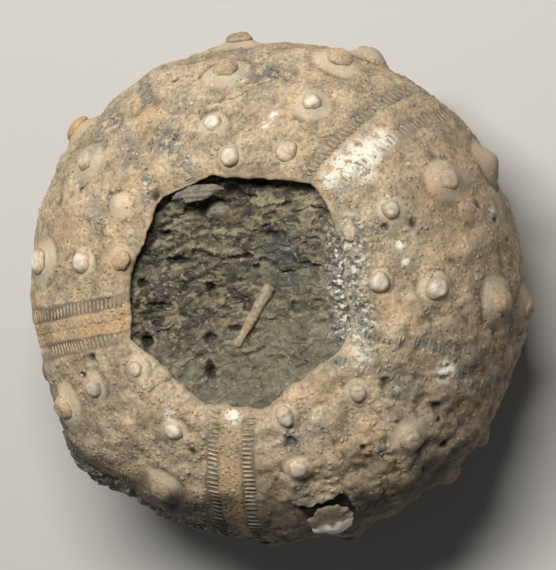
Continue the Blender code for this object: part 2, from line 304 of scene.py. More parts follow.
# %% Single marks that this fossil has
PITS = (   # azimuth, distance, radius, depth
    (112, 0.0212, 0.00028, 0.0004), (107, 0.0202, 0.00016, 0.0003), (122, 0.0252, 0.0003, 0.0003),
    (106, 0.0166, 0.00013, 0.0003), (115, 0.0148, 0.00035, 0.0004), (144, 0.0150, 0.0002, 0.0003),
    (149, 0.0182, 0.0003, 0.0003), (327, 0.0198, 0.00028, 0.0004), (356, 0.0232, 0.0004, 0.0005),
    (201, 0.0146, 0.0005, 0.0004), (205, 0.0166, 0.0004, 0.0003), (133, 0.0116, 0.0004, 0.0003),
    (22, 0.0222, 0.0004, 0.0004), (18, 0.0236, 0.0003, 0.0004), (27, 0.0134, 0.0004, 0.0004),
    (24, 0.0156, 0.0005, 0.0003), (330, 0.0140, 0.0006, 0.0004), (338, 0.0186, 0.0004, 0.0003),
    (288, 0.0126, 0.0007, 0.0004), (308, 0.0160, 0.0003, 0.0003), (330, 0.0190, 0.0006, 0.0003),
    (13, 0.0250, 0.0003, 0.0003), (322, 0.0222, 0.0004, 0.0003), (250, 0.0140, 0.0003, 0.0002),
)
GREY_PATCHES = (   # azimuth, distance, radius, strength
    (118, 0.0150, 0.0018, 0.9), (116, 0.0124, 0.0012, 0.7), (92, 0.0226, 0.0018, 0.6),
    (87, 0.0196, 0.0022, 0.8), (135, 0.0112, 0.0012, 0.7), (112, 0.0180, 0.0016, 0.6),
    (150, 0.0150, 0.0014, 0.4), (134, 0.0200, 0.0022, 0.6), (130, 0.0160, 0.0015, 0.5),
    (27, 0.0126, 0.0010, 0.8), (20, 0.0230, 0.0014, 0.7), (331, 0.0150, 0.0022, 0.7),
    (339, 0.0200, 0.0024, 0.7), (288, 0.0124, 0.0013, 1.0), (330, 0.0200, 0.0016, 0.6),
    (202, 0.0154, 0.0010, 0.6), (345, 0.0170, 0.0016, 0.5), (299, 0.0126, 0.0012, 0.4),
    (311, 0.0174, 0.0011, 1.0), (343, 0.0214, 0.0012, 1.0), (285, 0.0172, 0.0008, 0.7),
)
WHITE_PATCHES = (   # azimuth, distance, radius, strength
    (54, 0.0124, 0.0011, 0.8), (53, 0.0140, 0.0015, 1.0), (51, 0.0158, 0.0018, 1.0),
    (50, 0.0178, 0.0013, 0.8), (46, 0.0148, 0.0012, 0.7), (84, 0.0146, 0.0004, 1.0),
    (82, 0.0156, 0.0005, 0.9), (19, 0.0140, 0.0005, 1.0), (13, 0.0140, 0.0004, 1.0),
    (340, 0.0184, 0.0012, 1.0), (342, 0.0246, 0.0008, 0.5), (237, 0.0117, 0.0006, 1.0),
    (304, 0.0114, 0.0007, 0.5), (264, 0.0100, 0.0009, 0.9), (334, 0.0112, 0.0013, 0.7),
    (286, 0.0112, 0.0009, 0.4),
)
ORANGE_PATCHES = (   # azimuth, distance, radius, strength
    (121, 0.0185, 0.0012, 0.9), (122, 0.0165, 0.0009, 0.5), (141, 0.0262, 0.0014, 1.0),
    (52, 0.0110, 0.0010, 0.7), (166, 0.0112, 0.0018, 0.5), (30, 0.0180, 0.0012, 0.5),
    (190, 0.0140, 0.0016, 0.6), (191, 0.0110, 0.0016, 0.6), (68, 0.0130, 0.0014, 0.4),
    (356, 0.0120, 0.0016, 0.4), (160, 0.0180, 0.0020, 0.4), (280, 0.0270, 0.0020, 0.4),
)


print("single marks:", len(PITS), "pits,", len(GREY_PATCHES), "grey,", len(WHITE_PATCHES), "white,",
      len(ORANGE_PATCHES), "orange")


def patches(azimuth, distance, around, table):
    """Strength of the soft-edged patches of a table, from 0 to 1."""
    total = np.zeros_like(distance)
    for middle, away, radius, strength in table:
        aside = turn_between(azimuth, middle) * around
        total = np.maximum(total, strength * knoll(np.hypot(aside, distance - away) / radius / 1.5))
    return total


# %% Relief of the bosses and of worn mounds
RING_DEPTH = 0.00010           # of the sunken ring round a boss
LOW_MOUNDS = (   # azimuth, distance, radius, height: worn swellings with no knob
    (152, 0.0110, 0.0012, 0.00035), (121, 0.0182, 0.0015, 0.00045), (122, 0.0160, 0.0010, 0.00025),
    (40, 0.0128, 0.0011, 0.00030), (222, 0.0112, 0.0012, 0.00030), (300, 0.0120, 0.0012, 0.00025),
    (12, 0.0196, 0.0014, 0.00030), (346, 0.0130, 0.0013, 0.00025), (270, 0.0270, 0.0016, 0.00040),
    (226, 0.0240, 0.0018, 0.00050), (68, 0.0278, 0.0022, 0.00115), (326, 0.0282, 0.0014, 0.00060),
)


def boss_relief(azimuth, distance, around, points):
    """Height of the bosses, depth of the rings round them, and how much a point is on a boss."""
    rise = np.zeros_like(distance)
    ring = np.zeros_like(distance)
    share = np.zeros_like(distance)
    uneven = 1 + 0.13 * noise(points, 0.0019, 43)
    for middle, away, radius, height, _ in tubercles:
        aside = turn_between(azimuth, middle) * around
        gone = np.hypot(aside, distance - away) / radius * uneven
        rise = np.maximum(rise, 0.92 * height * ease(1.0, -0.12, gone))
        ring = np.maximum(ring, knoll((gone - 1.0) / 0.24) * min(radius / LARGE_BOSS[0], 1))
        share = np.maximum(share, ease(1.05, 0.75, gone))
    for middle, away, radius, height in LOW_MOUNDS:
        aside = turn_between(azimuth, middle) * around
        rise = np.maximum(rise, height * knoll(np.hypot(aside, distance - away) / radius * uneven))
    return rise, ring * ease(-0.45, 0.35, noise(points, 0.004, 45)), share


# %% Relief of the sutures
SUTURE_WIDTH = 0.00020
SUTURE_DEPTH = 0.00006


def suture_lines(azimuth, distance, around, points):
    """Grooves between plates: a zigzag down each interambulacrum, and lines between bosses."""
    groove = np.zeros_like(distance)
    wander = 0.0006 * noise(points, 0.0035, 31)
    for left, right in zip(TUBERCLE_COLUMNS[::2], TUBERCLE_COLUMNS[1::2]):
        span = turn_between(right[-1][0], left[-1][0])
        zigzag = 0.0007 * (2 * np.abs((distance / 0.0052) % 1 - 0.5) - 0.5)
        aside = turn_between(azimuth, left[-1][0] + span / 2) * around + zigzag + wander
        groove = np.maximum(groove, knoll(aside / SUTURE_WIDTH))
        for column in (left, right):
            own = ease(1.0, 0.85, np.abs(turn_between(azimuth, column[-1][0])) / np.abs(span) * 1.8)
            for upper, lower in zip(column, column[1:]):
                halfway = (upper[1] + lower[1]) / 2 + wander
                groove = np.maximum(groove, own * knoll((distance - halfway) / SUTURE_WIDTH))
    return groove * ease(-0.1, 0.5, noise(points, 0.0045, 33))


# %% Relief of the ambulacra
def ambulacrum_relief(azimuth, distance, around, points):
    """Furrows of the ambulacra, with masks of their pore bands and of the band between those."""
    lift, pores, perradial, faded = (np.zeros_like(distance) for _ in range(4))
    clear = 0.45 + 0.55 * ease(-0.5, 0.2, noise(points, 0.0045, 47))
    for ambulacrum, kept in zip(AMBULACRA, AMBULACRUM_KEPT):
        aside = turn_between(azimuth, ambulacrum_middle(ambulacrum, distance)) * around
        aside = aside + 0.00012 * noise(points, 0.0016, 49)
        gone = np.abs(aside)
        furrow = np.cos(np.pi * np.minimum(gone / AMBULACRUM_WIDTH, 0.5))
        lift -= AMBULACRUM_DEPTH * (0.5 + 0.5 * kept) * furrow
        band = ease(1.35, 0.7, np.abs(gone - pore_offset(distance)) / rung_length(distance) * 2)
        pores = np.maximum(pores, band * kept * clear)
        faded = np.maximum(faded, band * (1 - 0.8 * kept))
        inner = ease(1.15, 0.8, gone / PERRADIAL_HALF)
        perradial = np.maximum(perradial, inner * (0.15 + 0.85 * kept ** 2))
        zigzag = 0.00016 * (4 * np.abs((distance / 0.0011) % 1 - 0.5) - 1)
        lift -= 0.00009 * kept * knoll((aside - zigzag) / 0.00017)
    lift += 0.00010 * perradial - PORE_DEPTH * pores
    return lift, pores, perradial, faded


# %% Relief of the eroded flank and of the broken boss
ROUGH_AZIMUTH = 236            # the middle of the eroded flank
BREAK_LINE = 0.0193            # the boss over the sprung chip is broken off at this distance


def flank_relief(azimuth, distance, points):
    """The eroded flank: lumps and cracks where the outer wall has gone. Also its mask."""
    spread = turn_between(azimuth, ROUGH_AZIMUTH) / 40
    start = 0.0217 + 0.0020 * np.abs(spread) + 0.0008 * noise(points, 0.003, 37)
    flank = np.clip(2 * knoll(spread), 0, 1) * ease(start, start + 0.0016, distance)
    flank = flank * ease(0.046, 0.034, distance)
    centre, crack = lumps(points, 0.0017, 5)
    small_centre, small_crack = lumps(points, 0.0007, 6)
    lift = 0.00055 * (0.45 - centre) - 0.00035 * ease(0.16, 0.02, crack)
    lift += 0.00024 * (0.45 - small_centre) - 0.00012 * ease(0.14, 0.0, small_crack)
    return flank * (lift + 0.00018 * layers(points, 0.0009, 3, 15)), flank


def broken_boss(azimuth, distance, around, points):
    """Where the boss over the sprung chip is gone, the slot at its break, and the white edge."""
    aside = turn_between(azimuth, CHIP_AZIMUTH) * around
    gone = np.hypot(aside / CHIP_SIZE[0], (distance - CHIP_DISTANCE) / CHIP_SIZE[1]) / 0.7
    line = distance - BREAK_LINE + 0.00025 * noise(points, 0.0009, 41)
    line = line + 0.00022 * (aside / 0.0020) ** 2
    within = ease(0.0023, 0.0018, np.abs(aside))
    gap = ease(1.05, 0.85, gone) * ease(-0.00012, 0.00012, line) * within
    slot = within * knoll((line - 0.00055) / 0.00070)
    return gap, slot, within * knoll((line + 0.00016) / 0.00027)


# %% Weathering and single pits
WAVES = (0.00030, 0.0056)      # height and width of each kind of unevenness
DENTS = (0.00024, 0.0027)
PITTING = (0.00015, 0.0013)
GRIT = (0.00007, 0.0007)
CRAGGY_AZIMUTH = 318           # the side whose grains have weathered to rough lumps
CRAGS = (0.00017, 0.0019)
CRAG_LUMP = (0.00024, 0.0026)
CRAG_NOTCH = 0.00007


def weathering(azimuth, distance, points, on_boss, plain):
    """Unevenness of the whole surface, and the share of lumpy weathering on the craggy side."""
    lift = WAVES[0] * noise(points, WAVES[1], 1)
    lift += DENTS[0] * noise(points, DENTS[1], 3) * (1 - 0.4 * on_boss)
    lift += (PITTING[0] * noise(points, PITTING[1], 4) + GRIT[0] * layers(points, GRIT[1], 2, 9)) * plain
    craggy = ease(0.45, 0.9, np.cos(np.radians(azimuth - CRAGGY_AZIMUTH))) * ease(0.012, 0.016, distance)
    hump, notch = lumps(points, CRAG_LUMP[1], 12)
    lift += craggy * plain * (CRAG_LUMP[0] * (0.5 - hump) - CRAG_NOTCH * ease(0.12, 0.0, notch))
    return lift + CRAGS[0] * craggy * layers(points, CRAGS[1], 3, 55), craggy


def pit_relief(azimuth, distance, around, points):
    """Depth of the single pits, and their mask."""
    lift = np.zeros_like(distance)
    pits = np.zeros_like(distance)
    for middle, away, radius, depth in PITS:
        aside = turn_between(azimuth, middle) * around
        gone = np.hypot(aside, distance - away) / radius / 1.15
        pit = knoll(gone * (1 + 0.6 * noise(points, 0.0006, 39)))
        lift -= depth * pit
        pits = np.maximum(pits, pit)
    return lift, pits


# %% Stain and painted shade
STAIN_AZIMUTH = 5              # the side with the brown stain
LOW_SIDE_AZIMUTH = 264         # the side away from the main light, darkened with painted shade


def stain_and_under_shade(azimuth, distance, points):
    """Stain on one side, and painted shade all round where the wall faces down."""
    stain = ease(0.5, 0.98, np.cos(np.radians(azimuth - STAIN_AZIMUTH))) * ease(0.012, 0.019, distance)
    stain = np.maximum(0.85 * stain, ease(0.024, 0.031, distance))
    return np.clip(stain * (0.7 + 0.5 * noise(points, 0.005, 35)), 0, 1)


def low_side_shade(azimuth, distance, points):
    """Painted shade on the side away from the main light, darker towards the bottom, with an uneven upper
    limit.
    """
    aside = turn_between(azimuth, LOW_SIDE_AZIMUTH) / 45
    start = 0.0168 + 0.0030 * aside ** 2 + 0.0013 * noise(points, 0.0022, 29)
    soil = ease(1.7, 1.1, np.abs(aside)) * ease(start, start + 0.0024, distance)
    return np.clip(soil * (0.9 + 0.4 * noise(points, 0.003, 30)), 0, 1) * ease(0.046, 0.034, distance)


# %% The whole relief
EDGE_ROUND = 0.0018            # width of the worn rounding of the mouth's edge
EDGE_DROP = 0.00070
SCAB_WIDTH = 0.00062           # of the small lumps in the grey patches and in the crust
GREY_LUMP = 0.00020
CRUST_LUMP = 0.00040
CRUST_AZIMUTH = 8              # the side of the mouth that is crusted over


def shell_relief(azimuth, distance):
    """Lift over the plain dome, and the masks that the material reads."""
    points = on_dome(azimuth, distance, 0.0)
    around = np.radians(1) * dome(distance)[0]
    bosses, ring, on_boss = boss_relief(azimuth, distance, around, points)
    furrows, pores, perradial, faded = ambulacrum_relief(azimuth, distance, around, points)
    plain = 1 - 0.75 * np.maximum(on_boss, np.maximum(pores, perradial))
    uneven, craggy = weathering(azimuth, distance, points, on_boss, plain)
    sutures = suture_lines(azimuth, distance, around, points) * (1 - pores) * (1 - perradial)
    sutures *= 1 - on_boss
    holes, pits = pit_relief(azimuth, distance, around, points)
    lift = bosses + furrows - RING_DEPTH * ring + uneven - SUTURE_DEPTH * sutures + holes
    grey = patches(azimuth, distance, around, GREY_PATCHES)
    grey = np.maximum(grey, 0.8 * faded * ease(-0.6, 0.4, noise(points, 0.0032, 51)))
    scab, _ = lumps(points, SCAB_WIDTH, 2)
    lift += GREY_LUMP * grey * (0.45 - scab) * plain
    eroded, flank = flank_relief(azimuth, distance, points)
    lift = lift * (1 - 0.5 * flank) + eroded
    from_edge = distance - mouth_distance(azimuth)
    crust = ease(36, 22, np.abs(turn_between(azimuth, CRUST_AZIMUTH)))
    crust = crust * ease(0.0027, 0.0009, from_edge + 0.0006 * noise(points, 0.0012, 21))
    lift += CRUST_LUMP * crust * (0.5 - scab)
    gap, slot, pale_edge = broken_boss(azimuth, distance, around, points)
    lift = lift * (1 - gap) - (CHIP_HOLLOW + 0.00015) * gap - 0.00035 * slot
    edge = np.clip(1 - from_edge / EDGE_ROUND, 0, 1)
    edge_drop = EDGE_DROP * edge ** 2 * (1 + 0.4 * noise(points, 0.0030, 25))
    white = np.maximum(patches(azimuth, distance, around, WHITE_PATCHES), pale_edge)
    # The pits mask takes in the slot at the broken boss, so the finish paints shade into both.
    masks = dict(pores=pores * (1 - edge), perradial=perradial, boss=on_boss, grey=grey,
                 pits=np.maximum(pits, slot), flank=flank, crust=crust, sutures=sutures,
                 broken=gap, craggy=craggy, edge_drop=edge_drop, white=white,
                 stain=stain_and_under_shade(azimuth, distance, points),
                 soil=low_side_shade(azimuth, distance, points),
                 orange=patches(azimuth, distance, around, ORANGE_PATCHES))
    return lift - edge_drop, masks


# %% [markdown]
# ## The shell's mesh
#
# Rings of points run from the hole in the underside up the inside, over the mouth's edge and down
# the outside, and close on themselves. Where detail matters a ring has 720 points, elsewhere half
# or a quarter. Faces between a fine and a coarse ring are triangles, so the skin has no gaps. A
# voxel remesh would be quicker to write, but it would waste faces on the hidden inside.

# %% Meshes from rings
def faces_between(start_a, count_a, start_b, count_b):
    """Faces between two rings, which have the same number of points or twice as many."""
    if count_b == 1 or count_a == 1:
        many, start, pole = (count_a, start_a, start_b) if count_b == 1 else (count_b, start_b, start_a)
        here = start + np.arange(many)
        ahead = start + (np.arange(many) + 1) % many
        pair = (here, ahead) if count_b == 1 else (ahead, here)
        return np.stack((*pair, np.full(many, pole)), 1).tolist()
    small = min(count_a, count_b)
    here = np.arange(small)
    ahead = (here + 1) % small
    if count_a == count_b:
        return np.stack((start_a + here, start_a + ahead, start_b + ahead, start_b + here), 1).tolist()
    large = 2 * small
    first, between, last = 2 * here, 2 * here + 1, (2 * here + 2) % large
    if count_a == large:
        a, b = start_a, start_b
        corners = ((a + first, a + between, b + here), (a + between, a + last, b + ahead),
                   (a + between, b + ahead, b + here))
    else:
        a, b = start_a, start_b
        corners = ((a + here, a + ahead, b + between), (a + here, b + between, b + first),
                   (a + ahead, b + last, b + between))
    return [face for three in corners for face in np.stack(three, 1).tolist()]


def signed_volume(vertices, faces):
    """Volume inside closed faces: negative if they point inwards."""
    threes = np.array([(face[0], face[place], face[place + 1])
                       for face in faces for place in range(1, len(face) - 1)])
    a, b, c = (vertices[threes[:, corner]] for corner in range(3))
    return np.sum(a * np.cross(b, c)) / 6


def ring_mesh(name, rings, masks=None, closed_loop=False):
    """A closed mesh from rings of points, with the masks stored on its points."""
    starts = np.concatenate(([0], np.cumsum([len(ring) for ring in rings])))
    vertices = np.concatenate(rings)
    pairs = list(zip(range(len(rings) - 1), range(1, len(rings))))
    if closed_loop:
        pairs.append((len(rings) - 1, 0))
    faces = []
    for a, b in pairs:
        faces += faces_between(starts[a], len(rings[a]), starts[b], len(rings[b]))
    if signed_volume(vertices, faces) < 0:
        faces = [face[::-1] for face in faces]
    mesh = bpy.data.meshes.new(name)
    mesh.from_pydata(vertices.tolist(), [], faces)
    for key, values in (masks or {}).items():
        layer = mesh.attributes.new(key, "FLOAT", "POINT")
        layer.data.foreach_set("value", np.concatenate(values).astype(np.float32))
    mesh.shade_smooth()
    mesh.update()
    triangles = sum(len(face) - 2 for face in faces)
    print(name, "triangles:", triangles)
    return mesh


def add_piece(name, mesh):
    piece = bpy.data.objects.new(name, mesh)
    bpy.context.scene.collection.objects.link(piece)
    return piece


# %% Shell
FINE_STEPS = 720
FINE_ROWS = 104
COARSE_ROWS = 36
LINING_ROWS = 22
FINE_END = 0.55                # share of the way down at which the outside turns coarse
HOLLOW_SCALE = 0.00009         # a dip of this depth counts as fully hollow
LIP_BULGES = ((0.95, 0.0), (0.78, 0.00014), (0.60, 0.00022), (0.42, 0.00024),   # share, bulge
              (0.24, 0.00019), (0.10, 0.00010))


def shell_block(steps, shares):
    """Points and masks of the outside at some shares of the way from the mouth to the hole."""
    azimuth = np.tile(np.arange(steps) * 360 / steps, (len(shares), 1))
    mouth = mouth_distance(azimuth)
    distance = mouth + np.array(shares)[:, None] * (APICAL_DISTANCE - mouth)
    lift, masks = shell_relief(azimuth, distance)
    level = lift + masks.pop("edge_drop")
    # The hollow mask marks dips in the relief; the finishes paint shade into them and make crests paler.
    dips = np.clip((blurred(level, 8) - level) / HOLLOW_SCALE, -1, 1)
    wide = np.clip((blurred(level, 60) - level) / (3 * HOLLOW_SCALE), -1, 1)
    masks["hollow"] = 0.6 * dips + 0.5 * wide
    return distance, on_dome(azimuth, distance, lift), masks


def lining_ring(steps, share):
    azimuth = np.arange(steps) * 360 / steps
    mouth = mouth_distance(azimuth)
    return on_dome(azimuth, mouth + share * (APICAL_DISTANCE - mouth), -SHELL_WALL)


def lip_ring(steps, share, bulge):
    """A ring of the mouth's edge, at a share of the way from the outside down to the lining."""
    azimuth = np.arange(steps) * 360 / steps
    mouth = mouth_distance(azimuth)
    edge_lift = shell_relief(azimuth, mouth)[0]
    lift = edge_lift * (1 - share) - SHELL_WALL * share
    uneven = on_dome(azimuth, mouth, lift)
    inward = bulge * (1 + 0.5 * layers(uneven, 0.0020, 3, 51))
    return on_dome(azimuth, mouth - inward, lift)


fine_distance, fine_points, fine_masks = shell_block(FINE_STEPS, np.linspace(0, FINE_END, FINE_ROWS))
_, coarse_points, coarse_masks = shell_block(FINE_STEPS // 2, np.linspace(FINE_END, 1, COARSE_ROWS)[1:])
rings = [lining_ring(180, share) for share in np.linspace(1, 0.09, LINING_ROWS)]
rings += [lining_ring(360, share) for share in (0.06, 0.04, 0.02)]
rings += [lip_ring(720, share, bulge) for share, bulge in LIP_BULGES]
nothing_inside = [np.zeros(len(ring)) for ring in rings]
smooth_wall = [np.ones(len(ring)) for ring in rings]
nothing_fine = [np.zeros(len(ring)) for ring in fine_points]
nothing_coarse = [np.zeros(len(ring)) for ring in coarse_points]
rings += [*fine_points, *coarse_points]
shell_masks = {key: nothing_inside + [*fine_masks[key], *coarse_masks[key]] for key in fine_masks}
shell_masks["wall"] = smooth_wall + nothing_fine + nothing_coarse
grains = 1 - np.clip(sum(fine_masks[key] for key in ("pores", "perradial", "boss", "broken", "pits")), 0, 1)
grains_under = 1 - np.clip(sum(coarse_masks[key] for key in ("pores", "perradial", "boss")), 0, 1)
past_edge = ease(0.0004, 0.0009, fine_distance - fine_distance[0])
rubbed = ease(-0.45, 0.2, noise(fine_points, 0.0048, 27)) * (1 - 0.75 * fine_masks["craggy"])
shell_masks["cover_top"] = nothing_inside + list(grains * past_edge * rubbed) + nothing_coarse
shell_masks["cover_under"] = nothing_inside + nothing_fine + list(grains_under)
print("share of the upper side that carries grains:", round(float(np.mean(grains * rubbed)), 2))
shell = add_piece("urchin_shell", ring_mesh("urchin_shell", rings, shell_masks, closed_loop=True))

# %% [markdown]
# ## Tools for node trees
#
# Geometry Nodes and shader trees are both made of nodes and links. One helper adds a node, sets
# its options, and fills or links its inputs. Modifier inputs are set by each socket's identifier,
# which is its permanent address. The result of a tree becomes a plain mesh.

# %% Node helpers
def add_node(tree, kind, inputs=None, **options):
    """Add a node. Inputs are values, or sockets to link."""
    node = tree.nodes.new(kind)
    for key, value in options.items():
        setattr(node, key, value)
    for key, value in (inputs or {}).items():
        if isinstance(value, bpy.types.NodeSocket):
            tree.links.new(value, node.inputs[key])
        else:
            node.inputs[key].default_value = value
    return node


def new_tree(name, kind, inputs, outputs):
    """An empty tree with named inputs and outputs, given as (name, type, default)."""
    tree = bpy.data.node_groups.new(name, kind)
    for label, socket_type, default in inputs:
        socket = tree.interface.new_socket(label, in_out="INPUT", socket_type=socket_type)
        if default is not None:
            socket.default_value = default
    for label, socket_type in outputs:
        tree.interface.new_socket(label, in_out="OUTPUT", socket_type=socket_type)
    return tree, tree.nodes.new("NodeGroupInput").outputs, tree.nodes.new("NodeGroupOutput").inputs


def run_tree(name, source, tree, values):
    """Run a Geometry Nodes tree on a mesh and return the result as a piece with a plain mesh."""
    carrier = add_piece(name + "_source", source)
    modifier = carrier.modifiers.new("tree", "NODES")
    modifier.node_group = tree
    for item in tree.interface.items_tree:
        if item.item_type == "SOCKET" and item.in_out == "INPUT" and item.name in values:
            modifier[item.identifier] = values[item.name]
    graph = bpy.context.evaluated_depsgraph_get()
    mesh = bpy.data.meshes.new_from_object(carrier.evaluated_get(graph))
    bpy.data.objects.remove(carrier, do_unlink=True)
    places = np.empty(3 * len(mesh.vertices), np.float32)
    mesh.vertices.foreach_get("co", places)
    places[2::3] = np.maximum(places[2::3], 0)
    mesh.vertices.foreach_set("co", places)
    mesh.name = name
    mesh.shade_smooth()
    print(name, "triangles:", sum(len(face.vertices) - 2 for face in mesh.polygons))
    return add_piece(name, mesh)


# %% [markdown]
# ## Two ways to repeat a small shape
#
# The skin of the shell carries thousands of grains with no order, only a usual spacing. The first
# tree scatters a shape over a surface, where a mask allows it. Knobs, rungs of pores and rows of
# grains have known places, so the second tree puts a shape on given points, each of which carries
# its own size and direction.

# %% Scatter tree
def scatter_tree():
    tree, given, result = new_tree(
        "scatter_on_surface", "GeometryNodeTree",
        (("Surface", "NodeSocketGeometry", None), ("Shape", "NodeSocketObject", None),
         ("Cover", "NodeSocketString", "cover_top"), ("Spacing", "NodeSocketFloat", 0.0004),
         ("Most per square metre", "NodeSocketFloat", 6e6), ("Smallest", "NodeSocketFloat", 0.0001),
         ("Largest", "NodeSocketFloat", 0.0002), ("Flatness", "NodeSocketFloat", 0.6),
         ("Seed", "NodeSocketInt", 1), ("Finish", "NodeSocketMaterial", None)),
        (("Pieces", "NodeSocketGeometry"),))
    cover = add_node(tree, "GeometryNodeInputNamedAttribute", {"Name": given["Cover"]})
    spots = add_node(tree, "GeometryNodeDistributePointsOnFaces",
                     {"Mesh": given["Surface"], "Distance Min": given["Spacing"],
                      "Density Max": given["Most per square metre"],
                      "Density Factor": cover.outputs["Attribute"], "Seed": given["Seed"]},
                     distribute_method="POISSON")
    size = add_node(tree, "FunctionNodeRandomValue",
                    {2: given["Smallest"], 3: given["Largest"], "Seed": given["Seed"]})
    height = add_node(tree, "ShaderNodeMath", {0: size.outputs[1], 1: given["Flatness"]},
                      operation="MULTIPLY")
    scale = add_node(tree, "ShaderNodeCombineXYZ",
                     {"X": size.outputs[1], "Y": size.outputs[1], "Z": height.outputs[0]})
    tilt = add_node(tree, "FunctionNodeRandomValue",
                    {0: (-0.35, -0.35, 0), 1: (0.35, 0.35, math.tau), "Seed": given["Seed"]},
                    data_type="FLOAT_VECTOR")
    turn = add_node(tree, "FunctionNodeRotateRotation",
                    {"Rotation": spots.outputs["Rotation"], "Rotate By": tilt.outputs[0]},
                    rotation_space="LOCAL")
    shape = add_node(tree, "GeometryNodeObjectInfo", {"Object": given["Shape"], "As Instance": True})
    placed = add_node(tree, "GeometryNodeInstanceOnPoints",
                      {"Points": spots.outputs["Points"], "Instance": shape.outputs["Geometry"],
                       "Rotation": turn.outputs[0], "Scale": scale.outputs[0]})
    tint = add_node(tree, "FunctionNodeRandomValue", {2: 0.0, 3: 1.0, "Seed": given["Seed"]})
    tinted = add_node(tree, "GeometryNodeStoreNamedAttribute",
                      {"Geometry": placed.outputs[0], "Name": "tint", "Value": tint.outputs[1]},
                      domain="INSTANCE", data_type="FLOAT")
    solid = add_node(tree, "GeometryNodeRealizeInstances", {"Geometry": tinted.outputs[0]})
    painted = add_node(tree, "GeometryNodeSetMaterial",
                       {"Geometry": solid.outputs[0], "Material": given["Finish"]})
    tree.links.new(painted.outputs[0], result["Pieces"])
    return tree


scatter = scatter_tree()


# %% Tree that puts a shape on given points
def place_tree():
    tree, given, result = new_tree(
        "shape_on_points", "GeometryNodeTree",
        (("Points", "NodeSocketGeometry", None), ("Shape", "NodeSocketObject", None),
         ("Wear", "NodeSocketFloat", 0.0), ("Finish", "NodeSocketMaterial", None)),
        (("Pieces", "NodeSocketGeometry"),))
    facing, across, size = (
        add_node(tree, "GeometryNodeInputNamedAttribute", {"Name": name}, data_type="FLOAT_VECTOR")
        for name in ("facing", "across", "size"))
    turn = add_node(tree, "FunctionNodeAxesToRotation",
                    {"Primary Axis": facing.outputs[0], "Secondary Axis": across.outputs[0]},
                    primary_axis="Z", secondary_axis="X")
    shape = add_node(tree, "GeometryNodeObjectInfo", {"Object": given["Shape"], "As Instance": True})
    cloud = add_node(tree, "GeometryNodeMeshToPoints", {"Mesh": given["Points"]})
    placed = add_node(tree, "GeometryNodeInstanceOnPoints",
                      {"Points": cloud.outputs[0], "Instance": shape.outputs["Geometry"],
                       "Rotation": turn.outputs[0], "Scale": size.outputs[0]})
    solid = add_node(tree, "GeometryNodeRealizeInstances", {"Geometry": placed.outputs[0]})
    cloud_value = add_node(tree, "ShaderNodeTexNoise", {"Scale": 1300.0, "Detail": 2.0})
    shift = add_node(tree, "ShaderNodeVectorMath", {0: cloud_value.outputs["Color"], 1: (0.5, 0.5, 0.5)},
                     operation="SUBTRACT")
    shift = add_node(tree, "ShaderNodeVectorMath", {0: shift.outputs[0], "Scale": given["Wear"]},
                     operation="SCALE")
    worn = add_node(tree, "GeometryNodeSetPosition",
                    {"Geometry": solid.outputs[0], "Offset": shift.outputs[0]})
    painted = add_node(tree, "GeometryNodeSetMaterial",
                       {"Geometry": worn.outputs[0], "Material": given["Finish"]})
    tree.links.new(painted.outputs[0], result["Pieces"])
    return tree


place = place_tree()


CARRIED = ("tint", "stain", "soil", "orange", "grey", "flank", "white")


def point_mesh(name, azimuth, distance, sink, size, tint, bare=()):
    """Loose points on the shell's real surface, each with its directions, size and tint.
    Points where one of the bare masks is strong are left out."""
    lift, masks = shell_relief(azimuth, distance)
    kept = (distance > mouth_distance(azimuth) + 0.0003) & (distance < APICAL_DISTANCE - 0.0008)
    for key in bare:
        kept &= masks[key] < 0.55
    azimuth, distance, lift = azimuth[kept], distance[kept], lift[kept] - sink
    turn = np.radians(azimuth)
    mesh = bpy.data.meshes.new(name)
    mesh.from_pydata(on_dome(azimuth, distance, lift).tolist(), [], [])
    across = np.stack((-np.sin(turn), np.cos(turn), np.zeros_like(turn)), 1)
    vectors = dict(facing=outward(azimuth, distance), across=across, size=size[kept])
    for key, values in vectors.items():
        layer = mesh.attributes.new(key, "FLOAT_VECTOR", "POINT")
        layer.data.foreach_set("vector", values.astype(np.float32).ravel())
    for key in CARRIED:
        layer = mesh.attributes.new(key, "FLOAT", "POINT")
        layer.data.foreach_set("value", (tint if key == "tint" else masks[key])[kept].astype(np.float32))
    return mesh


# %% Small shapes to repeat
def turned_shape(name, profile, steps):
    """A profile of (radius, height) turned about Z, closed at both ends by a pole. Its crown
    mask rises from 0 at the foot to 1 at the top."""
    turn = np.arange(steps) * 2 * np.pi / steps
    rings = [np.array([(0.0, 0.0, height)]) if radius == 0 else
             np.stack((radius * np.cos(turn), radius * np.sin(turn), np.full(steps, height)), 1)
             for radius, height in profile]
    top = max(height for _, height in profile)
    crown = [np.clip(ring[:, 2] / top, 0, 1) for ring in rings]
    return add_piece(name, ring_mesh(name, rings, {"crown": crown}))


# Low domes: their feet lie under the surface, so that they meet the stone at a low angle
GRAIN_PROFILE = ((0, -0.35), (1, -0.30), (0.70, 0.24), (0, 0.42))
grain_shape = turned_shape("grain_shape", GRAIN_PROFILE, 6)
BEAD_PROFILE = ((0, -0.35), (1, -0.30), (0.83, 0.14), (0.47, 0.37), (0, 0.44))
bead_shape = turned_shape("bead_shape", BEAD_PROFILE, 8)
KNOB_PROFILE = ((0, -0.9), (1.40, -0.9), (1.34, -0.45), (1.22, -0.10), (1.06, 0.16), (0.92, 0.34),
                (0.74, 0.49), (0.52, 0.58), (0.30, 0.60), (0.16, 0.57), (0, 0.55))
knob_shape = turned_shape("knob_shape", KNOB_PROFILE, 20)
RUNG_PROFILE = ((0, -1), (0.55, -0.86), (0.92, -0.45), (1, 0), (0.92, 0.45), (0.55, 0.86), (0, 1))
rung_shape = turned_shape("rung_shape", RUNG_PROFILE, 8)
rung_shape.data.transform(((0, 0, 1, 0), (0, 1, 0, 0), (-1, 0, 0, 0), (0, 0, 0, 1)))

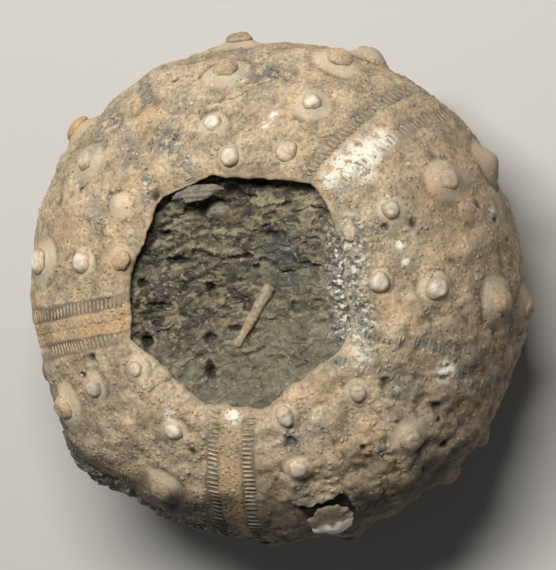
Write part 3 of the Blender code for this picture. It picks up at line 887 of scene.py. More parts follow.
# %% [markdown]
# ## Finishes
#
# Rock has colour at every scale: stains as wide as a fingertip, mottling a millimetre across and
# single crystals. Four shader groups make these effects once, and each finish mixes them with its
# own colours. They work on object coordinates, so a grain has the colour of the rock under it.

# %% Shader groups
def mix_colour(tree, factor, first, second, blend="MIX"):
    node = add_node(tree, "ShaderNodeMix", {0: factor, 6: first, 7: second},
                    data_type="RGBA", blend_type=blend)
    return node.outputs[2]


def calculate(tree, operation, *values, clamp=False):
    node = add_node(tree, "ShaderNodeMath", dict(enumerate(values)), operation=operation)
    node.use_clamp = clamp
    return node.outputs[0]


def ramp_between(tree, value, low, high, to_low=0.0, to_high=1.0):
    """Read a value against two limits: to_low below the first, to_high above the second."""
    node = add_node(tree, "ShaderNodeMapRange",
                    {"Value": value, "From Min": low, "From Max": high, "To Min": to_low,
                     "To Max": to_high}, interpolation_type="SMOOTHSTEP")
    return node.outputs[0]


def cloud_noise(tree, place_socket, scale, detail=4.0, roughness=0.55):
    node = add_node(tree, "ShaderNodeTexNoise", {"Vector": place_socket, "Scale": scale,
                                                 "Detail": detail, "Roughness": roughness})
    return node.outputs[0]


def mottle_group():
    """Stone colour: stains of a warm and a cool tone over the main one, and fine unevenness."""
    tree, given, result = new_tree(
        "stone_mottle", "ShaderNodeTree",
        (("Place", "NodeSocketVector", None), ("Main", "NodeSocketColor", (0.5, 0.4, 0.3, 1)),
         ("Warm", "NodeSocketColor", (0.5, 0.3, 0.2, 1)), ("Cool", "NodeSocketColor", (0.2, 0.2, 0.2, 1)),
         ("Warm share", "NodeSocketFloat", 0.5), ("Cool share", "NodeSocketFloat", 0.5)),
        (("Color", "NodeSocketColor"),))
    stains = ramp_between(tree, cloud_noise(tree, given["Place"], 210), 0.44, 0.66)
    warm = calculate(tree, "MULTIPLY", stains, given["Warm share"])
    flecks = ramp_between(tree, cloud_noise(tree, given["Place"], 1150, 5, 0.62), 0.50, 0.66)
    cool = calculate(tree, "MULTIPLY", flecks, given["Cool share"], clamp=True)
    colour = mix_colour(tree, warm, given["Main"], given["Warm"])
    colour = mix_colour(tree, cool, colour, given["Cool"])
    fine = ramp_between(tree, cloud_noise(tree, given["Place"], 3600, 3, 0.6), 0.3, 0.7, 0.72, 1.26)
    wide = ramp_between(tree, cloud_noise(tree, given["Place"], 420, 4, 0.6), 0.3, 0.7, 0.72, 1.24)
    shade = calculate(tree, "MULTIPLY", fine, wide)
    colour = mix_colour(tree, 1.0, colour, shade, "MULTIPLY")
    tree.links.new(colour, result["Color"])
    return tree


def speck_group():
    """Mask of scattered specks: their scale, and the level that noise has to pass."""
    tree, given, result = new_tree(
        "specks", "ShaderNodeTree",
        (("Place", "NodeSocketVector", None), ("Scale", "NodeSocketFloat", 2000.0),
         ("Level", "NodeSocketFloat", 0.66)), (("Mask", "NodeSocketFloat"),))
    value = cloud_noise(tree, given["Place"], given["Scale"], 2, 0.5)
    upper = calculate(tree, "ADD", given["Level"], 0.06)
    tree.links.new(ramp_between(tree, value, given["Level"], upper), result["Mask"])
    return tree


def hollow_shade_group():
    """Colour darkened in hollows as painted shade, and made paler on crests."""
    tree, given, result = new_tree(
        "painted_hollow_shade", "ShaderNodeTree",
        (("Color", "NodeSocketColor", (0.5, 0.5, 0.5, 1)), ("Hollow", "NodeSocketFloat", 0.0),
         ("Hollow shade", "NodeSocketColor", (0.1, 0.08, 0.06, 1)), ("Pale", "NodeSocketColor", (0.8, 0.7, 0.6, 1)),
         ("Hollow shade share", "NodeSocketFloat", 0.8), ("Pale share", "NodeSocketFloat", 0.4)),
        (("Color", "NodeSocketColor"),))
    dip = calculate(tree, "MULTIPLY", ramp_between(tree, given["Hollow"], 0.05, 0.9), given["Hollow shade share"])
    crest = calculate(tree, "MULTIPLY", ramp_between(tree, given["Hollow"], -0.1, -0.95),
                      given["Pale share"])
    colour = mix_colour(tree, dip, given["Color"], given["Hollow shade"])
    colour = mix_colour(tree, crest, colour, given["Pale"])
    tree.links.new(colour, result["Color"])
    return tree


def grain_group():
    """Height of a fine crystalline surface, and roughness that varies with it."""
    tree, given, result = new_tree(
        "crystal_grain", "ShaderNodeTree",
        (("Place", "NodeSocketVector", None), ("Scale", "NodeSocketFloat", 3000.0)),
        (("Height", "NodeSocketFloat"), ("Roughness", "NodeSocketFloat")))
    coarse_part = cloud_noise(tree, given["Place"], given["Scale"], 5, 0.65)
    cells = add_node(tree, "ShaderNodeTexVoronoi", {"Vector": given["Place"], "Scale": given["Scale"]})
    height = calculate(tree, "MULTIPLY_ADD", cells.outputs["Distance"], -0.35, coarse_part)
    tree.links.new(height, result["Height"])
    tree.links.new(ramp_between(tree, coarse_part, 0.3, 0.7, 0.5, 0.9), result["Roughness"])
    return tree


mottle, specks, hollow_shade, crystal = mottle_group(), speck_group(), hollow_shade_group(), grain_group()


# %% A finish that is built up in coats
class StoneFinish:
    """A stone material whose colour grows in coats, from its mottled ground up to single specks."""

    def __init__(self, name, main, warm, cool, hollow_shade_colour, pale, warm_share=0.5, cool_share=0.4,
                 hollow_shade_share=0.8, pale_share=0.4, grain_scale=3000.0, bump=0.4, waxy=0.2):
        self.material = bpy.data.materials.new(name)
        self.material.use_nodes = True
        self.tree = self.material.node_tree
        self.shader = self.tree.nodes["Principled BSDF"]
        self.place = add_node(self.tree, "ShaderNodeTexCoord").outputs["Object"]
        self.colour = self.group(mottle, {"Place": self.place, "Main": (*main, 1), "Warm": (*warm, 1),
                                          "Cool": (*cool, 1), "Warm share": warm_share,
                                          "Cool share": cool_share})["Color"]
        # Painted shade: the colour darkens where the stored hollow mask marks a dip, and turns paler on
        # crests.
        self.colour = self.group(hollow_shade, {"Color": self.colour, "Hollow": self.mask("hollow"),
                                        "Hollow shade": (*hollow_shade_colour, 1), "Pale": (*pale, 1),
                                        "Hollow shade share": hollow_shade_share, "Pale share": pale_share})["Color"]
        surface = self.group(crystal, {"Place": self.place, "Scale": grain_scale})
        relief = add_node(self.tree, "ShaderNodeBump", {"Height": surface["Height"], "Strength": bump,
                                                        "Distance": 0.00012})
        self.tree.links.new(relief.outputs[0], self.shader.inputs["Normal"])
        self.tree.links.new(surface["Roughness"], self.shader.inputs["Roughness"])
        self.shader.inputs["Subsurface Weight"].default_value = waxy
        self.shader.inputs["Subsurface Scale"].default_value = 0.0005

    def group(self, made, inputs):
        return add_node(self.tree, "ShaderNodeGroup", inputs, node_tree=made).outputs

    def mask(self, label):
        """Value of a mask that is stored on the mesh."""
        return add_node(self.tree, "ShaderNodeAttribute", attribute_name=label).outputs["Fac"]

    def specks(self, scale, level, place=None):
        """Mask of specks. The lower the level, the more of them."""
        return self.group(specks, {"Place": place or self.place, "Scale": scale, "Level": level})["Mask"]

    def product(self, first, second):
        return calculate(self.tree, "MULTIPLY", first, second)

    def coat(self, cover, most, tone):
        """Lay a tone over the colour where the cover is, at most this strong."""
        share = self.product(cover, most)
        self.colour = mix_colour(self.tree, share, self.colour, (*tone, 1))

    def finished(self):
        self.tree.links.new(self.colour, self.shader.inputs["Base Color"])
        return self.material


# %% Colours of this fossil
TAN = (0.455, 0.355, 0.235)
ORANGE_TAN = (0.51, 0.345, 0.195)
GREY_GREEN = (0.235, 0.225, 0.185)
# Brown of the painted shade in hollows
HOLLOW_SHADE_BROWN = (0.135, 0.098, 0.062)
PALE_TAN = (0.62, 0.53, 0.39)
CALCITE = (0.78, 0.74, 0.63)
BLUE_BLACK = (0.030, 0.034, 0.040)
RUST = (0.52, 0.31, 0.14)
# Brown of the stain, also used as painted shade where the wall faces down
STAIN_AND_SHADE_BROWN = (0.19, 0.145, 0.098)
# Near black of the painted shade on the side away from the main light
LOW_SIDE_SHADE_COLOUR = (0.045, 0.039, 0.031)
PORE_DARK = (0.125, 0.108, 0.080)
ERODED_GREY = (0.175, 0.165, 0.135)
CRUST_GREY = (0.29, 0.275, 0.225)
# Near black of the painted shade in pits and the slot, also the dark of the sutures
PIT_SHADE_AND_JOINT_DARK = (0.030, 0.026, 0.023)
SLATE = (0.135, 0.14, 0.13)
MUD = (0.118, 0.098, 0.058)
MUD_OCHRE = (0.165, 0.127, 0.069)
MUD_GREEN = (0.066, 0.070, 0.056)
MUD_SHADE = (0.022, 0.019, 0.014)
WALL_TAN = (0.33, 0.26, 0.175)
CRUST_SHADE = (0.055, 0.058, 0.056)


# %% Shell finish
def shell_finish():
    stone = StoneFinish("shell_calcite", TAN, ORANGE_TAN, GREY_GREEN, HOLLOW_SHADE_BROWN, PALE_TAN,
                        cool_share=0.38)
    crust, grey = stone.mask("crust"), stone.mask("grey")
    # Of these coats, the brown one is a stain on one side and painted shade where the wall faces down; the
    # near-black one is painted shade on the side away from the main light.
    for label, most, tone in (("boss", 0.50, PALE_TAN), ("stain", 0.70, STAIN_AND_SHADE_BROWN), ("soil", 0.88, LOW_SIDE_SHADE_COLOUR),
                              ("orange", 0.70, RUST), ("perradial", 0.30, RUST),
                              ("pores", 0.75, PORE_DARK)):
        stone.coat(stone.mask(label), most, tone)
    stone.coat(grey, stone.specks(1500.0, 0.45), SLATE)
    stone.coat(stone.mask("flank"), 0.85, ERODED_GREY)
    stone.coat(crust, 0.85, CRUST_GREY)
    busy = calculate(stone.tree, "MAXIMUM", crust, grey)
    busy = calculate(stone.tree, "MAXIMUM", busy, stone.mask("flank"))
    stone.coat(stone.specks(2500.0, calculate(stone.tree, "MULTIPLY_ADD", busy, -0.11, 0.68)), 0.7,
               BLUE_BLACK)
    stone.coat(stone.product(crust, stone.specks(2300.0, 0.51)), 0.7, CRUST_SHADE)
    stone.coat(stone.product(crust, stone.specks(1700.0, 0.55)), 0.6, CALCITE)
    stone.coat(stone.specks(2100.0, calculate(stone.tree, "MULTIPLY_ADD", busy, -0.10, 0.70)), 0.6,
               CALCITE)
    white = ramp_between(stone.tree, stone.mask("white"), 0.1, 0.9)
    stone.coat(white, stone.specks(1500.0, 0.43), CALCITE)
    # Painted shade: pits and the slot at the broken boss are coloured near black; the sutures take a
    # quarter of it as dark joints.
    sutures = stone.product(stone.mask("sutures"), 0.25)
    stone.coat(calculate(stone.tree, "MAXIMUM", stone.mask("pits"), sutures), 0.9, PIT_SHADE_AND_JOINT_DARK)
    stone.coat(stone.mask("wall"), 0.6, WALL_TAN)
    stone.shader.inputs["Specular IOR Level"].default_value = 0.35
    return stone.finished()


shell.data.materials.append(shell_finish())


# %% Finish of the grains, knobs and rungs
def tinted_finish(name, main, light, low, high, warm=ORANGE_TAN, cool=GREY_GREEN, **shares):
    """Stone whose tint attribute runs from its own colour to a light one, strongest on its crown."""
    stone = StoneFinish(name, main, warm, cool, HOLLOW_SHADE_BROWN, PALE_TAN, **shares)
    tree = stone.tree
    patchy = ramp_between(tree, cloud_noise(tree, stone.place, 1400.0), 0.35, 0.6, 0.35, 1.0)
    patchy = stone.product(patchy, ramp_between(tree, stone.mask("crown"), 0.0, 0.9, 0.15, 1.0))
    stone.coat(ramp_between(tree, stone.mask("tint"), low, high), patchy, light)
    # Of these coats, the brown one is a stain on one side and painted shade where the wall faces down; the
    # near-black one is painted shade on the side away from the main light.
    for label, most, tone in (("stain", 0.65, STAIN_AND_SHADE_BROWN), ("soil", 0.85, LOW_SIDE_SHADE_COLOUR), ("orange", 0.6, RUST),
                              ("grey", 0.5, ERODED_GREY), ("flank", 0.8, ERODED_GREY),
                              ("white", 0.9, CALCITE)):
        stone.coat(stone.mask(label), most, tone)
    return stone.finished()


grain_stone = tinted_finish("grain_calcite", (0.415, 0.322, 0.208), PALE_TAN, 0.5, 1.8, cool_share=0.5)
knob_stone = tinted_finish("knob_calcite", (0.46, 0.355, 0.235), CALCITE, 0.15, 1.0, cool_share=0.35)
rung_stone = tinted_finish("rung_calcite", (0.40, 0.315, 0.21), PALE_TAN, 0.4, 1.5, cool_share=0.7)

# %% [markdown]
# ## Grains on the shell
#
# Miliary grains cover the shell between the bosses. On a real urchin each carried a hair-fine
# spine. They are scattered with an even spacing, as living ones are, and sunk to almost half
# their height in the surface. Where the shell is rubbed or craggy, there are few.

# %% Scatter the grains
GRAIN_SPACING = 0.00037
GRAIN_SIZES = (0.00010, 0.00027)


def scatter_grains(name, cover, seed):
    return run_tree(name, shell.data.copy(), scatter,
                    {"Shape": grain_shape, "Cover": cover, "Spacing": GRAIN_SPACING,
                     "Most per square metre": 8e6, "Smallest": GRAIN_SIZES[0],
                     "Largest": GRAIN_SIZES[1], "Flatness": 0.50, "Seed": seed,
                     "Finish": grain_stone})


top_grains = scatter_grains("grains_top", "cover_top", 3)
under_grains = scatter_grains("grains_under", "cover_under", 4)

# %% [markdown]
# ## Knobs, rings of beads and ladders of pores
#
# Each boss carries a knob with a small hole in its top, where a ligament held the spine, and a
# ring of larger grains stands round the boss. In the ambulacra, pairs of pores lie in grooves one
# under another, and the walls between them look like the rungs of a ladder. All have a rule for
# their places, so their points are worked out and the second tree sets the shapes on them.

# %% Knobs
KNOB_RADII = (0.00058, 0.00080)       # on the smallest and the largest boss
KNOB_SINK = 0.00014
KNOB_WEAR = 0.00042
KNOBLESS = ((288, 0.0206), (145, 0.0134), (31, 0.0270))     # broken off, or worn down

standing = np.array([spot for spot in tubercles if spot[:2] not in KNOBLESS])
growth = (standing[:, 2] - SMALL_BOSS[0]) / (LARGE_BOSS[0] - SMALL_BOSS[0])
radius = KNOB_RADII[0] + growth * (KNOB_RADII[1] - KNOB_RADII[0])
radius = radius * draw.uniform(0.88, 1.15, len(growth))
size = np.stack((radius, radius * draw.uniform(0.85, 1.1, len(growth)),
                 radius * draw.uniform(0.45, 0.70, len(growth))), 1)
knobs = run_tree("tubercle_knobs",
                 point_mesh("knob_points", standing[:, 0], standing[:, 1], KNOB_SINK, size,
                            standing[:, 4]),
                 place, {"Shape": knob_shape, "Finish": knob_stone, "Wear": KNOB_WEAR})

# %% Beads: rings round the bosses, and rows down each ambulacrum
RING_PITCH = 0.00060
ROW_OFFSETS = (-0.00062, -0.00022, 0.00022, 0.00062)
ROW_PITCH = 0.00054
BAND_START = 0.0088            # rows and ladders begin here; points past the mouth's edge drop out


def along_ambulacrum(ambulacrum, offset, pitch, start):
    """Azimuths and distances down an ambulacrum, at an offset from its middle, a pitch apart."""
    distances = [start]
    while distances[-1] < APICAL_DISTANCE:
        distances.append(distances[-1] + pitch(distances[-1]))
    distance = np.array(distances)
    around = np.radians(1) * dome(distance)[0]
    return ambulacrum_middle(ambulacrum, distance) + offset(distance) / around, distance


azimuths, distances, radii = [], [], []
for azimuth, distance, radius, _, _ in tubercles:
    count = int(2 * math.pi * 1.2 * radius / RING_PITCH)
    turn = (np.arange(count) + draw.random(count) * 0.5) * 2 * np.pi / count
    reach = radius * draw.uniform(1.10, 1.28, count)
    there = distance + reach * np.cos(turn)
    distances.append(there)
    azimuths.append(azimuth + reach * np.sin(turn) / (np.radians(1) * dome(there)[0]))
    radii.append(draw.uniform(0.00011, 0.00023, count))
for ambulacrum, kept in zip(AMBULACRA, AMBULACRUM_KEPT):
    for number, row_offset in enumerate(ROW_OFFSETS):
        azimuth, distance = along_ambulacrum(ambulacrum, lambda _: row_offset, lambda _: ROW_PITCH,
                                             BAND_START + number % 2 * ROW_PITCH / 2)
        azimuths.append(azimuth + draw.uniform(-0.5, 0.5, len(azimuth)))
        distances.append(distance)
        radii.append(draw.uniform(0.00014, 0.00024, len(azimuth)) * (0.5 + 0.5 * kept))
azimuth, distance, radius = (np.concatenate(part) for part in (azimuths, distances, radii))
size = np.stack((radius, radius, 0.85 * radius), 1)
beads = run_tree("beads", point_mesh("bead_points", azimuth, distance, 0.00003, size,
                                     draw.random(len(radius)), ("pores", "boss", "broken", "flank")),
                 place, {"Shape": bead_shape, "Finish": grain_stone})

# %% Rungs between the pores
RUNG_PITCHES = (0.00042, 0.00056)     # at the mouth and at the widest level


def rung_pitch(distance):
    return np.interp(distance, (0.012, WIDEST_DISTANCE), RUNG_PITCHES)


parts = []
for ambulacrum, kept in zip(AMBULACRA, AMBULACRUM_KEPT):
    for side in (-1, 1):
        azimuth, distance = along_ambulacrum(ambulacrum, lambda away: side * pore_offset(away), rung_pitch,
                                             BAND_START + 0.0001 * side)
        length = 0.5 * rung_length(distance) * draw.uniform(0.85, 1.0, len(distance))
        rise = (0.00007 * kept + 0.00003) * draw.uniform(0.5, 1.1, len(distance))
        width = rung_pitch(distance) * draw.uniform(0.23, 0.32, len(distance))
        left = draw.random(len(distance)) < 2.6 * kept - 0.2
        parts.append([part[left] for part in (azimuth, distance, length, width, rise)])
azimuth, distance, length, width, rise = (np.concatenate(part) for part in zip(*parts))
rungs = run_tree("pore_rungs", point_mesh("rung_points", azimuth, distance, -0.00001,
                                          np.stack((length, width, rise), 1), draw.random(len(rise))),
                 place, {"Shape": rung_shape, "Finish": rung_stone})

# %% [markdown]
# ## The sediment
#
# Fine mud filled the empty shell and hardened in thin layers. Where the mouth leaves it bare it
# has split along them into flakes, with slits between. A height field makes that: cells stretched
# along the bedding, each with its own level and its own tilt, in three sizes. A displaced plane
# would do too, but then its edge would have to be cut to the mouth. Here the rings follow it.

# %% Level of the plain top
SEDIMENT_TOP = 0.0219
SEDIMENT_SLOPE = 0.0005
SEDIMENT_REACH = 0.010
SEDIMENT_DEEP_SIDE = 125
SWELL_HEIGHT = 0.00015
SWELL_TURNS = (700, 900)
SWELL_START = (1.3, 0.4)


def sediment_level(x, y):
    """Height of the plain top: it slopes gently to its deep side."""
    deep = math.radians(SEDIMENT_DEEP_SIDE)
    slope = (x * math.cos(deep) + y * math.sin(deep)) / SEDIMENT_REACH
    swell = np.sin(x * SWELL_TURNS[0] + SWELL_START[0]) * np.sin(y * SWELL_TURNS[1] + SWELL_START[1])
    return SEDIMENT_TOP - SEDIMENT_SLOPE * slope + SWELL_HEIGHT * swell


# %% Flakes and slits
FLAKES = (   # size of a cell, height and tilt of the flakes, seed
    (0.0019, 0.00020, 0.30, 4), (0.0009, 0.00012, 0.34, 5), (0.00042, 0.00006, 0.34, 6),
)
BEDDING_STRETCH = 1.6
SLIT_DEPTH = 0.00022


def flakes(points, size, height, tilt, seed):
    """Flat splinters: each cell has its own level and tilt. Also each cell's own tone, 0 to 1."""
    place = points / size + 11.3 * seed
    cell = np.floor(place).astype(int)
    best = np.full(place.shape[:-1], 9.0)
    level = np.zeros_like(best)
    tone = np.zeros_like(best)
    for offset in NEIGHBOURS[NEIGHBOURS[:, 2] == 0]:
        key = grid_key(cell + offset)
        way = cell + offset + JITTER[key] - place
        gone = np.hypot(way[..., 0], way[..., 1])
        own = SLOPES[key]
        lean = -(own[..., 0] * way[..., 0] + own[..., 1] * way[..., 1]) * tilt
        level = np.where(gone < best, height * (own[..., 2] + 3 * lean), level)
        tone = np.where(gone < best, 0.5 + 0.5 * own[..., 0], tone)
        best = np.minimum(gone, best)
    return level, tone


def split_layers(x, y, flat, calm):
    """Flakes along the bedding and slits between them: the height, the flakes' tone, the slits."""
    bend = 0.0010 * noise(flat, 0.0050, 61)[..., None] * np.array((0.4, 1.0, 0.0))
    fine_bend = 0.0005 * noise(flat, 0.0009, 62)[..., None] * np.array((1.0, 1.0, 0.0))
    lean = np.radians(-6 - 1500 * np.clip(x, -0.01, 0.01))
    along = x * np.cos(lean) + y * np.sin(lean)
    across = -x * np.sin(lean) + y * np.cos(lean)
    bedding = np.stack((along / BEDDING_STRETCH, across, np.zeros_like(x)), -1) + bend + fine_bend
    rise = np.zeros_like(x)
    tone = np.full_like(x, 0.5)
    for size, height, tilt, seed in FLAKES:
        level, own_tone = flakes(bedding, size, height, tilt, seed)
        rise += level * (1 - 0.4 * calm)
        tone += 0.4 * (own_tone - 0.5)
    slits = ease(0.10, 0.0, np.abs(noise(bedding, 0.0013, 73))) * ease(0.1, 0.6, noise(flat, 0.002, 75))
    return rise - SLIT_DEPTH * slits * (1 - 0.6 * calm), tone, slits


# %% Single pits, the bed of the spine, and banks at the mouth's edge
SEDIMENT_PITS = (   # x, y, radius along x, radius along y, depth
    (-0.0087, -0.0038, 0.0005, 0.0007, 0.0009), (-0.0034, 0.0007, 0.0005, 0.0005, 0.0007),
    (-0.0034, -0.0034, 0.0006, 0.0004, 0.0007), (-0.0033, -0.0062, 0.0005, 0.0009, 0.0008),
    (-0.0010, -0.0026, 0.0008, 0.0003, 0.0004), (0.0020, 0.0052, 0.0012, 0.0003, 0.0005),
    (-0.0072, 0.0052, 0.0010, 0.0003, 0.0006), (-0.0060, 0.0030, 0.0014, 0.0003, 0.0005),
    (0.0048, 0.0030, 0.0006, 0.0004, 0.0003), (-0.0090, 0.0010, 0.0006, 0.0004, 0.0006),
    (-0.0078, -0.0008, 0.0012, 0.0003, 0.0005), (-0.0015, 0.0086, 0.0020, 0.0006, 0.0006),
)
SPINE_ENDS = ((-0.0010, -0.0041), (0.0019, 0.0010))
SPINE_BED = 0.00035            # sediment rises this much along the spine that lies in it
SPINE_BED_HALF = 0.0011
CRUST_BANK = 0.00075           # how far the crusted bank stands up at the mouth's edge
OPEN_BANK = 0.00070


def sediment_holes(x, y, flat):
    """Depth of the single pits, and their mask."""
    lift = np.zeros_like(x)
    pits = np.zeros_like(x)
    for middle_x, middle_y, half_x, half_y, depth in SEDIMENT_PITS:
        gone = np.hypot((x - middle_x) / half_x, (y - middle_y) / half_y)
        pit = knoll((gone + 0.35 * noise(flat, 0.0006, 77)) / 1.3)
        lift -= depth * pit
        pits = np.maximum(pits, pit)
    return lift, pits


def spine_bed(x, y):
    """1 along the spine that lies in the sediment, and 0 away from it."""
    start, end = np.array(SPINE_ENDS)
    run = end - start
    share = np.clip(((x - start[0]) * run[0] + (y - start[1]) * run[1]) / (run @ run), 0, 1)
    gone = np.hypot(x - start[0] - share * run[0], y - start[1] - share * run[1])
    return knoll(gone / SPINE_BED_HALF)


def edge_banks(x, y, flat, tone):
    """Sediment that stands up against the mouth's edge, and the mask of its crusted stretch."""
    azimuth = np.degrees(np.arctan2(y, x))
    inside = mouth_distance(azimuth) - np.hypot(x, y)
    crust = ease(40, 24, np.abs(turn_between(azimuth, CRUST_AZIMUTH)))
    crust = crust * ease(0.0033, 0.0012, inside + 0.0004 * tone)
    cell, _ = lumps(flat, 0.0006, 8)
    under = ease(-0.0020, -0.0006, inside)
    open_side = ease(0.35, -0.45, np.sin(np.radians(azimuth + 12)))
    bank = under * crust * (CRUST_BANK + 0.00050 * (0.5 - cell))
    return bank + OPEN_BANK * under * open_side * (1 - crust) * ease(0.0032, 0.0002, inside), crust


# %% The whole relief of the sediment
UNEVENNESS = ((0.00032, 0.0034, 71), (0.00012, 0.0014, 72))     # height, width, seed
FINE_GRIT = 0.00010
ARCH_RISE = 0.00045            # a curved ridge left of the middle
LENS_RISE = 0.00045            # a smooth swelling near the slipped plate
RIDGE_RISE = 0.00035           # a short ridge near the lower edge


def sediment_relief(x, y):
    """Detail of the top over its plain level, and the masks that its material reads."""
    flat = np.stack((x, y, np.zeros_like(x)), -1)
    calm = ease(-0.003, 0.004, 0.5 * x - y - 0.0012)
    split, tone, slits = split_layers(x, y, flat, calm)
    holes, pits = sediment_holes(x, y, flat)
    detail = sum(height * noise(flat, width, seed) for height, width, seed in UNEVENNESS)
    detail += split + FINE_GRIT * layers(flat, 0.0007, 3, 67) + holes
    arch = np.hypot((x + 0.0046) / 1.25, y - 0.0022)
    detail += ARCH_RISE * knoll((arch - 0.0019) / 0.0005) * ease(-0.0002, 0.0012, y - 0.0026)
    lens = knoll(np.hypot((x + 0.0027) / 0.0016, (y - 0.0072) / 0.0010))
    detail = detail * (1 - 0.7 * lens) + LENS_RISE * lens
    ridge = knoll(np.hypot((x - 0.0003) / 0.0010, (y + 0.0044 - 0.3 * x) / 0.0004))
    detail += RIDGE_RISE * ridge
    bed = spine_bed(x, y)
    banks, crust = edge_banks(x, y, flat, tone)
    detail = detail * (1 - 0.7 * bed) + SPINE_BED * bed + banks
    damp = knoll(np.hypot((x - 0.0030) / 0.0042, (y - 0.0032) / 0.0046) + 0.3 * noise(flat, 0.0016, 79))
    # The pits mask takes in the slits between flakes; the finish paints shade into both.
    masks = dict(damp=damp, calm=calm, pits=np.maximum(pits, 0.8 * slits), tone=tone, crust=crust,
                 flake=np.maximum(lens, ridge))
    return detail, masks


# %% Sediment mesh
SEDIMENT_TUCK = 0.0026         # how far under the shell the top reaches
TOP_RINGS = 132
CRUMB_RINGS = 121              # crumbs lie on these, and not in the gap under the shell
SIDE_RINGS = 23
SEDIMENT_HOLLOW_SCALE = 0.00012


def sediment_edge(azimuth, share):
    """The body's side: a gap inside the shell's lining."""
    mouth = mouth_distance(azimuth) + SEDIMENT_TUCK
    distance = mouth + share * (APICAL_DISTANCE - mouth)
    return on_dome(azimuth, distance, -(SHELL_WALL + GAP))


def top_ring(share):
    """A ring of the top, at a share of the way from the middle out, its detail and its masks."""
    steps = 720 if share > 0.5 else 360 if share > 0.25 else 180 if share > 0.12 else 90
    edge = sediment_edge(np.arange(steps) * 360 / steps, 0)
    ring = edge * share
    fade = share ** 4
    ring[:, 2] = sediment_level(ring[:, 0], ring[:, 1]) * (1 - fade) + edge[:, 2] * fade
    detail, masks = sediment_relief(ring[:, 0], ring[:, 1])
    detail = detail * ease(1.0, 0.93, share)
    ring[:, 2] += detail
    return ring, detail, masks


def ring_hollows(rises):
    """Dips of each ring's heights against their own surroundings, ring by ring."""
    made = []
    for number, rise in enumerate(rises):
        reach = max(len(rise) // 120, 1)
        local = sum(np.roll(rise, shift) for shift in range(-2 * reach, 2 * reach + 1, reach)) / 5
        for other in (number - 3, number + 3):
            if 0 <= other < len(rises):
                near = rises[other]
                spread = np.interp(np.arange(len(rise)) / len(rise),
                                   np.arange(len(near)) / len(near), near)
                local = (local * 2 + spread) / 3
        made.append(np.clip((local - rise) / SEDIMENT_HOLLOW_SCALE, -1, 1))
    return made


tops, rises, ring_masks = zip(*(top_ring(share) for share in np.linspace(0, 1, TOP_RINGS + 1)[1:]))
side_rings = [sediment_edge(np.arange(360) * 1.0, share) for share in np.linspace(0, 1, SIDE_RINGS + 1)[1:]]
plug = APICAL_RADIUS - GAP
turn = np.radians(np.arange(180) * 2.0)
for radius, height in ((plug, SHELL_WALL + GAP), (plug, 0.0004), (plug - 0.0003, 0.0),
                       (plug / 2, 0.0)):
    side_rings.append(np.stack((radius * np.cos(turn), radius * np.sin(turn), np.full(180, height)), 1))
side_rings.append(np.array([(0.0, 0.0, 0.0)]))
middle_height = sediment_level(0.0, 0.0) + sediment_relief(np.zeros(1), np.zeros(1))[0][0]
middle = np.array([(0.0, 0.0, middle_height)])
nothing_below = [np.zeros(len(ring)) for ring in side_rings]
sediment_masks = {key: [np.zeros(1)] + [masks[key] for masks in ring_masks] + nothing_below
                  for key in ring_masks[0]}
# The hollow mask marks dips in the sediment; its finish paints shade into them and makes crests paler.
sediment_masks["hollow"] = [np.zeros(1)] + ring_hollows(rises) + nothing_below
bare_tops = [np.zeros(len(ring)) for ring in tops[CRUMB_RINGS:]]
sediment_masks["cover_top"] = [np.ones(1)] + [np.ones(len(ring)) for ring in tops[:CRUMB_RINGS]] \
    + bare_tops + nothing_below
sediment = add_piece("sediment", ring_mesh("sediment", [middle, *tops, *side_rings], sediment_masks))


# %% Sediment finish
def sediment_finish():
    stone = StoneFinish("sediment_stone", MUD, MUD_OCHRE, MUD_GREEN, MUD_SHADE, (0.25, 0.22, 0.15),
                        warm_share=0.6, cool_share=0.5, grain_scale=2600.0, bump=0.7, waxy=0.0)
    stretched = add_node(stone.tree, "ShaderNodeMapping",
                         {"Vector": stone.place, "Rotation": (0, 0, math.radians(8)),
                          "Scale": (0.5, 1.0, 1.0)}).outputs[0]
    shade = ramp_between(stone.tree, stone.mask("tone"), 0.2, 0.8, 0.45, 1.5)
    stone.colour = mix_colour(stone.tree, 1.0, stone.colour, shade, "MULTIPLY")
    stone.coat(stone.specks(1500.0, 0.575, stretched), 0.6, (0.28, 0.24, 0.155))
    stone.coat(stone.specks(1300.0, 0.555, stretched), 0.8, (0.020, 0.018, 0.014))
    stone.coat(stone.mask("calm"), 0.46, (0.190, 0.176, 0.122))
    # A dark blue-grey patch right of the middle.
    stone.coat(stone.mask("damp"), 0.6, (0.060, 0.066, 0.060))
    stone.coat(stone.specks(2900.0, 0.64), 0.5, (0.42, 0.38, 0.29))
    stone.coat(stone.mask("flake"), 0.6, (0.235, 0.22, 0.17))
    crust = stone.mask("crust")
    stone.coat(crust, 0.75, CRUST_GREY)
    stone.coat(stone.product(crust, stone.specks(2300.0, 0.52)), 0.85, (0.035, 0.038, 0.040))
    stone.coat(stone.product(crust, stone.specks(2600.0, 0.55)), 0.8, CALCITE)
    # Painted shade: pits and the slits between flakes are coloured near black.
    stone.coat(stone.mask("pits"), 0.85, (0.008, 0.007, 0.006))
    return stone.finished()


sediment.data.materials.append(sediment_finish())

# %% Crumbs on the sediment
crumb_stone = tinted_finish("crumb_stone", (0.11, 0.095, 0.062), (0.28, 0.25, 0.18), 0.6, 1.3,
                            warm=(0.15, 0.12, 0.07), cool=(0.065, 0.07, 0.06))
crumbs = run_tree("sediment_crumbs", sediment.data.copy(), scatter,
                  {"Shape": grain_shape, "Cover": "cover_top", "Spacing": 0.00055,
                   "Most per square metre": 3e6, "Smallest": 0.00004, "Largest": 0.00016,
                   "Flatness": 0.7, "Seed": 8, "Finish": crumb_stone})

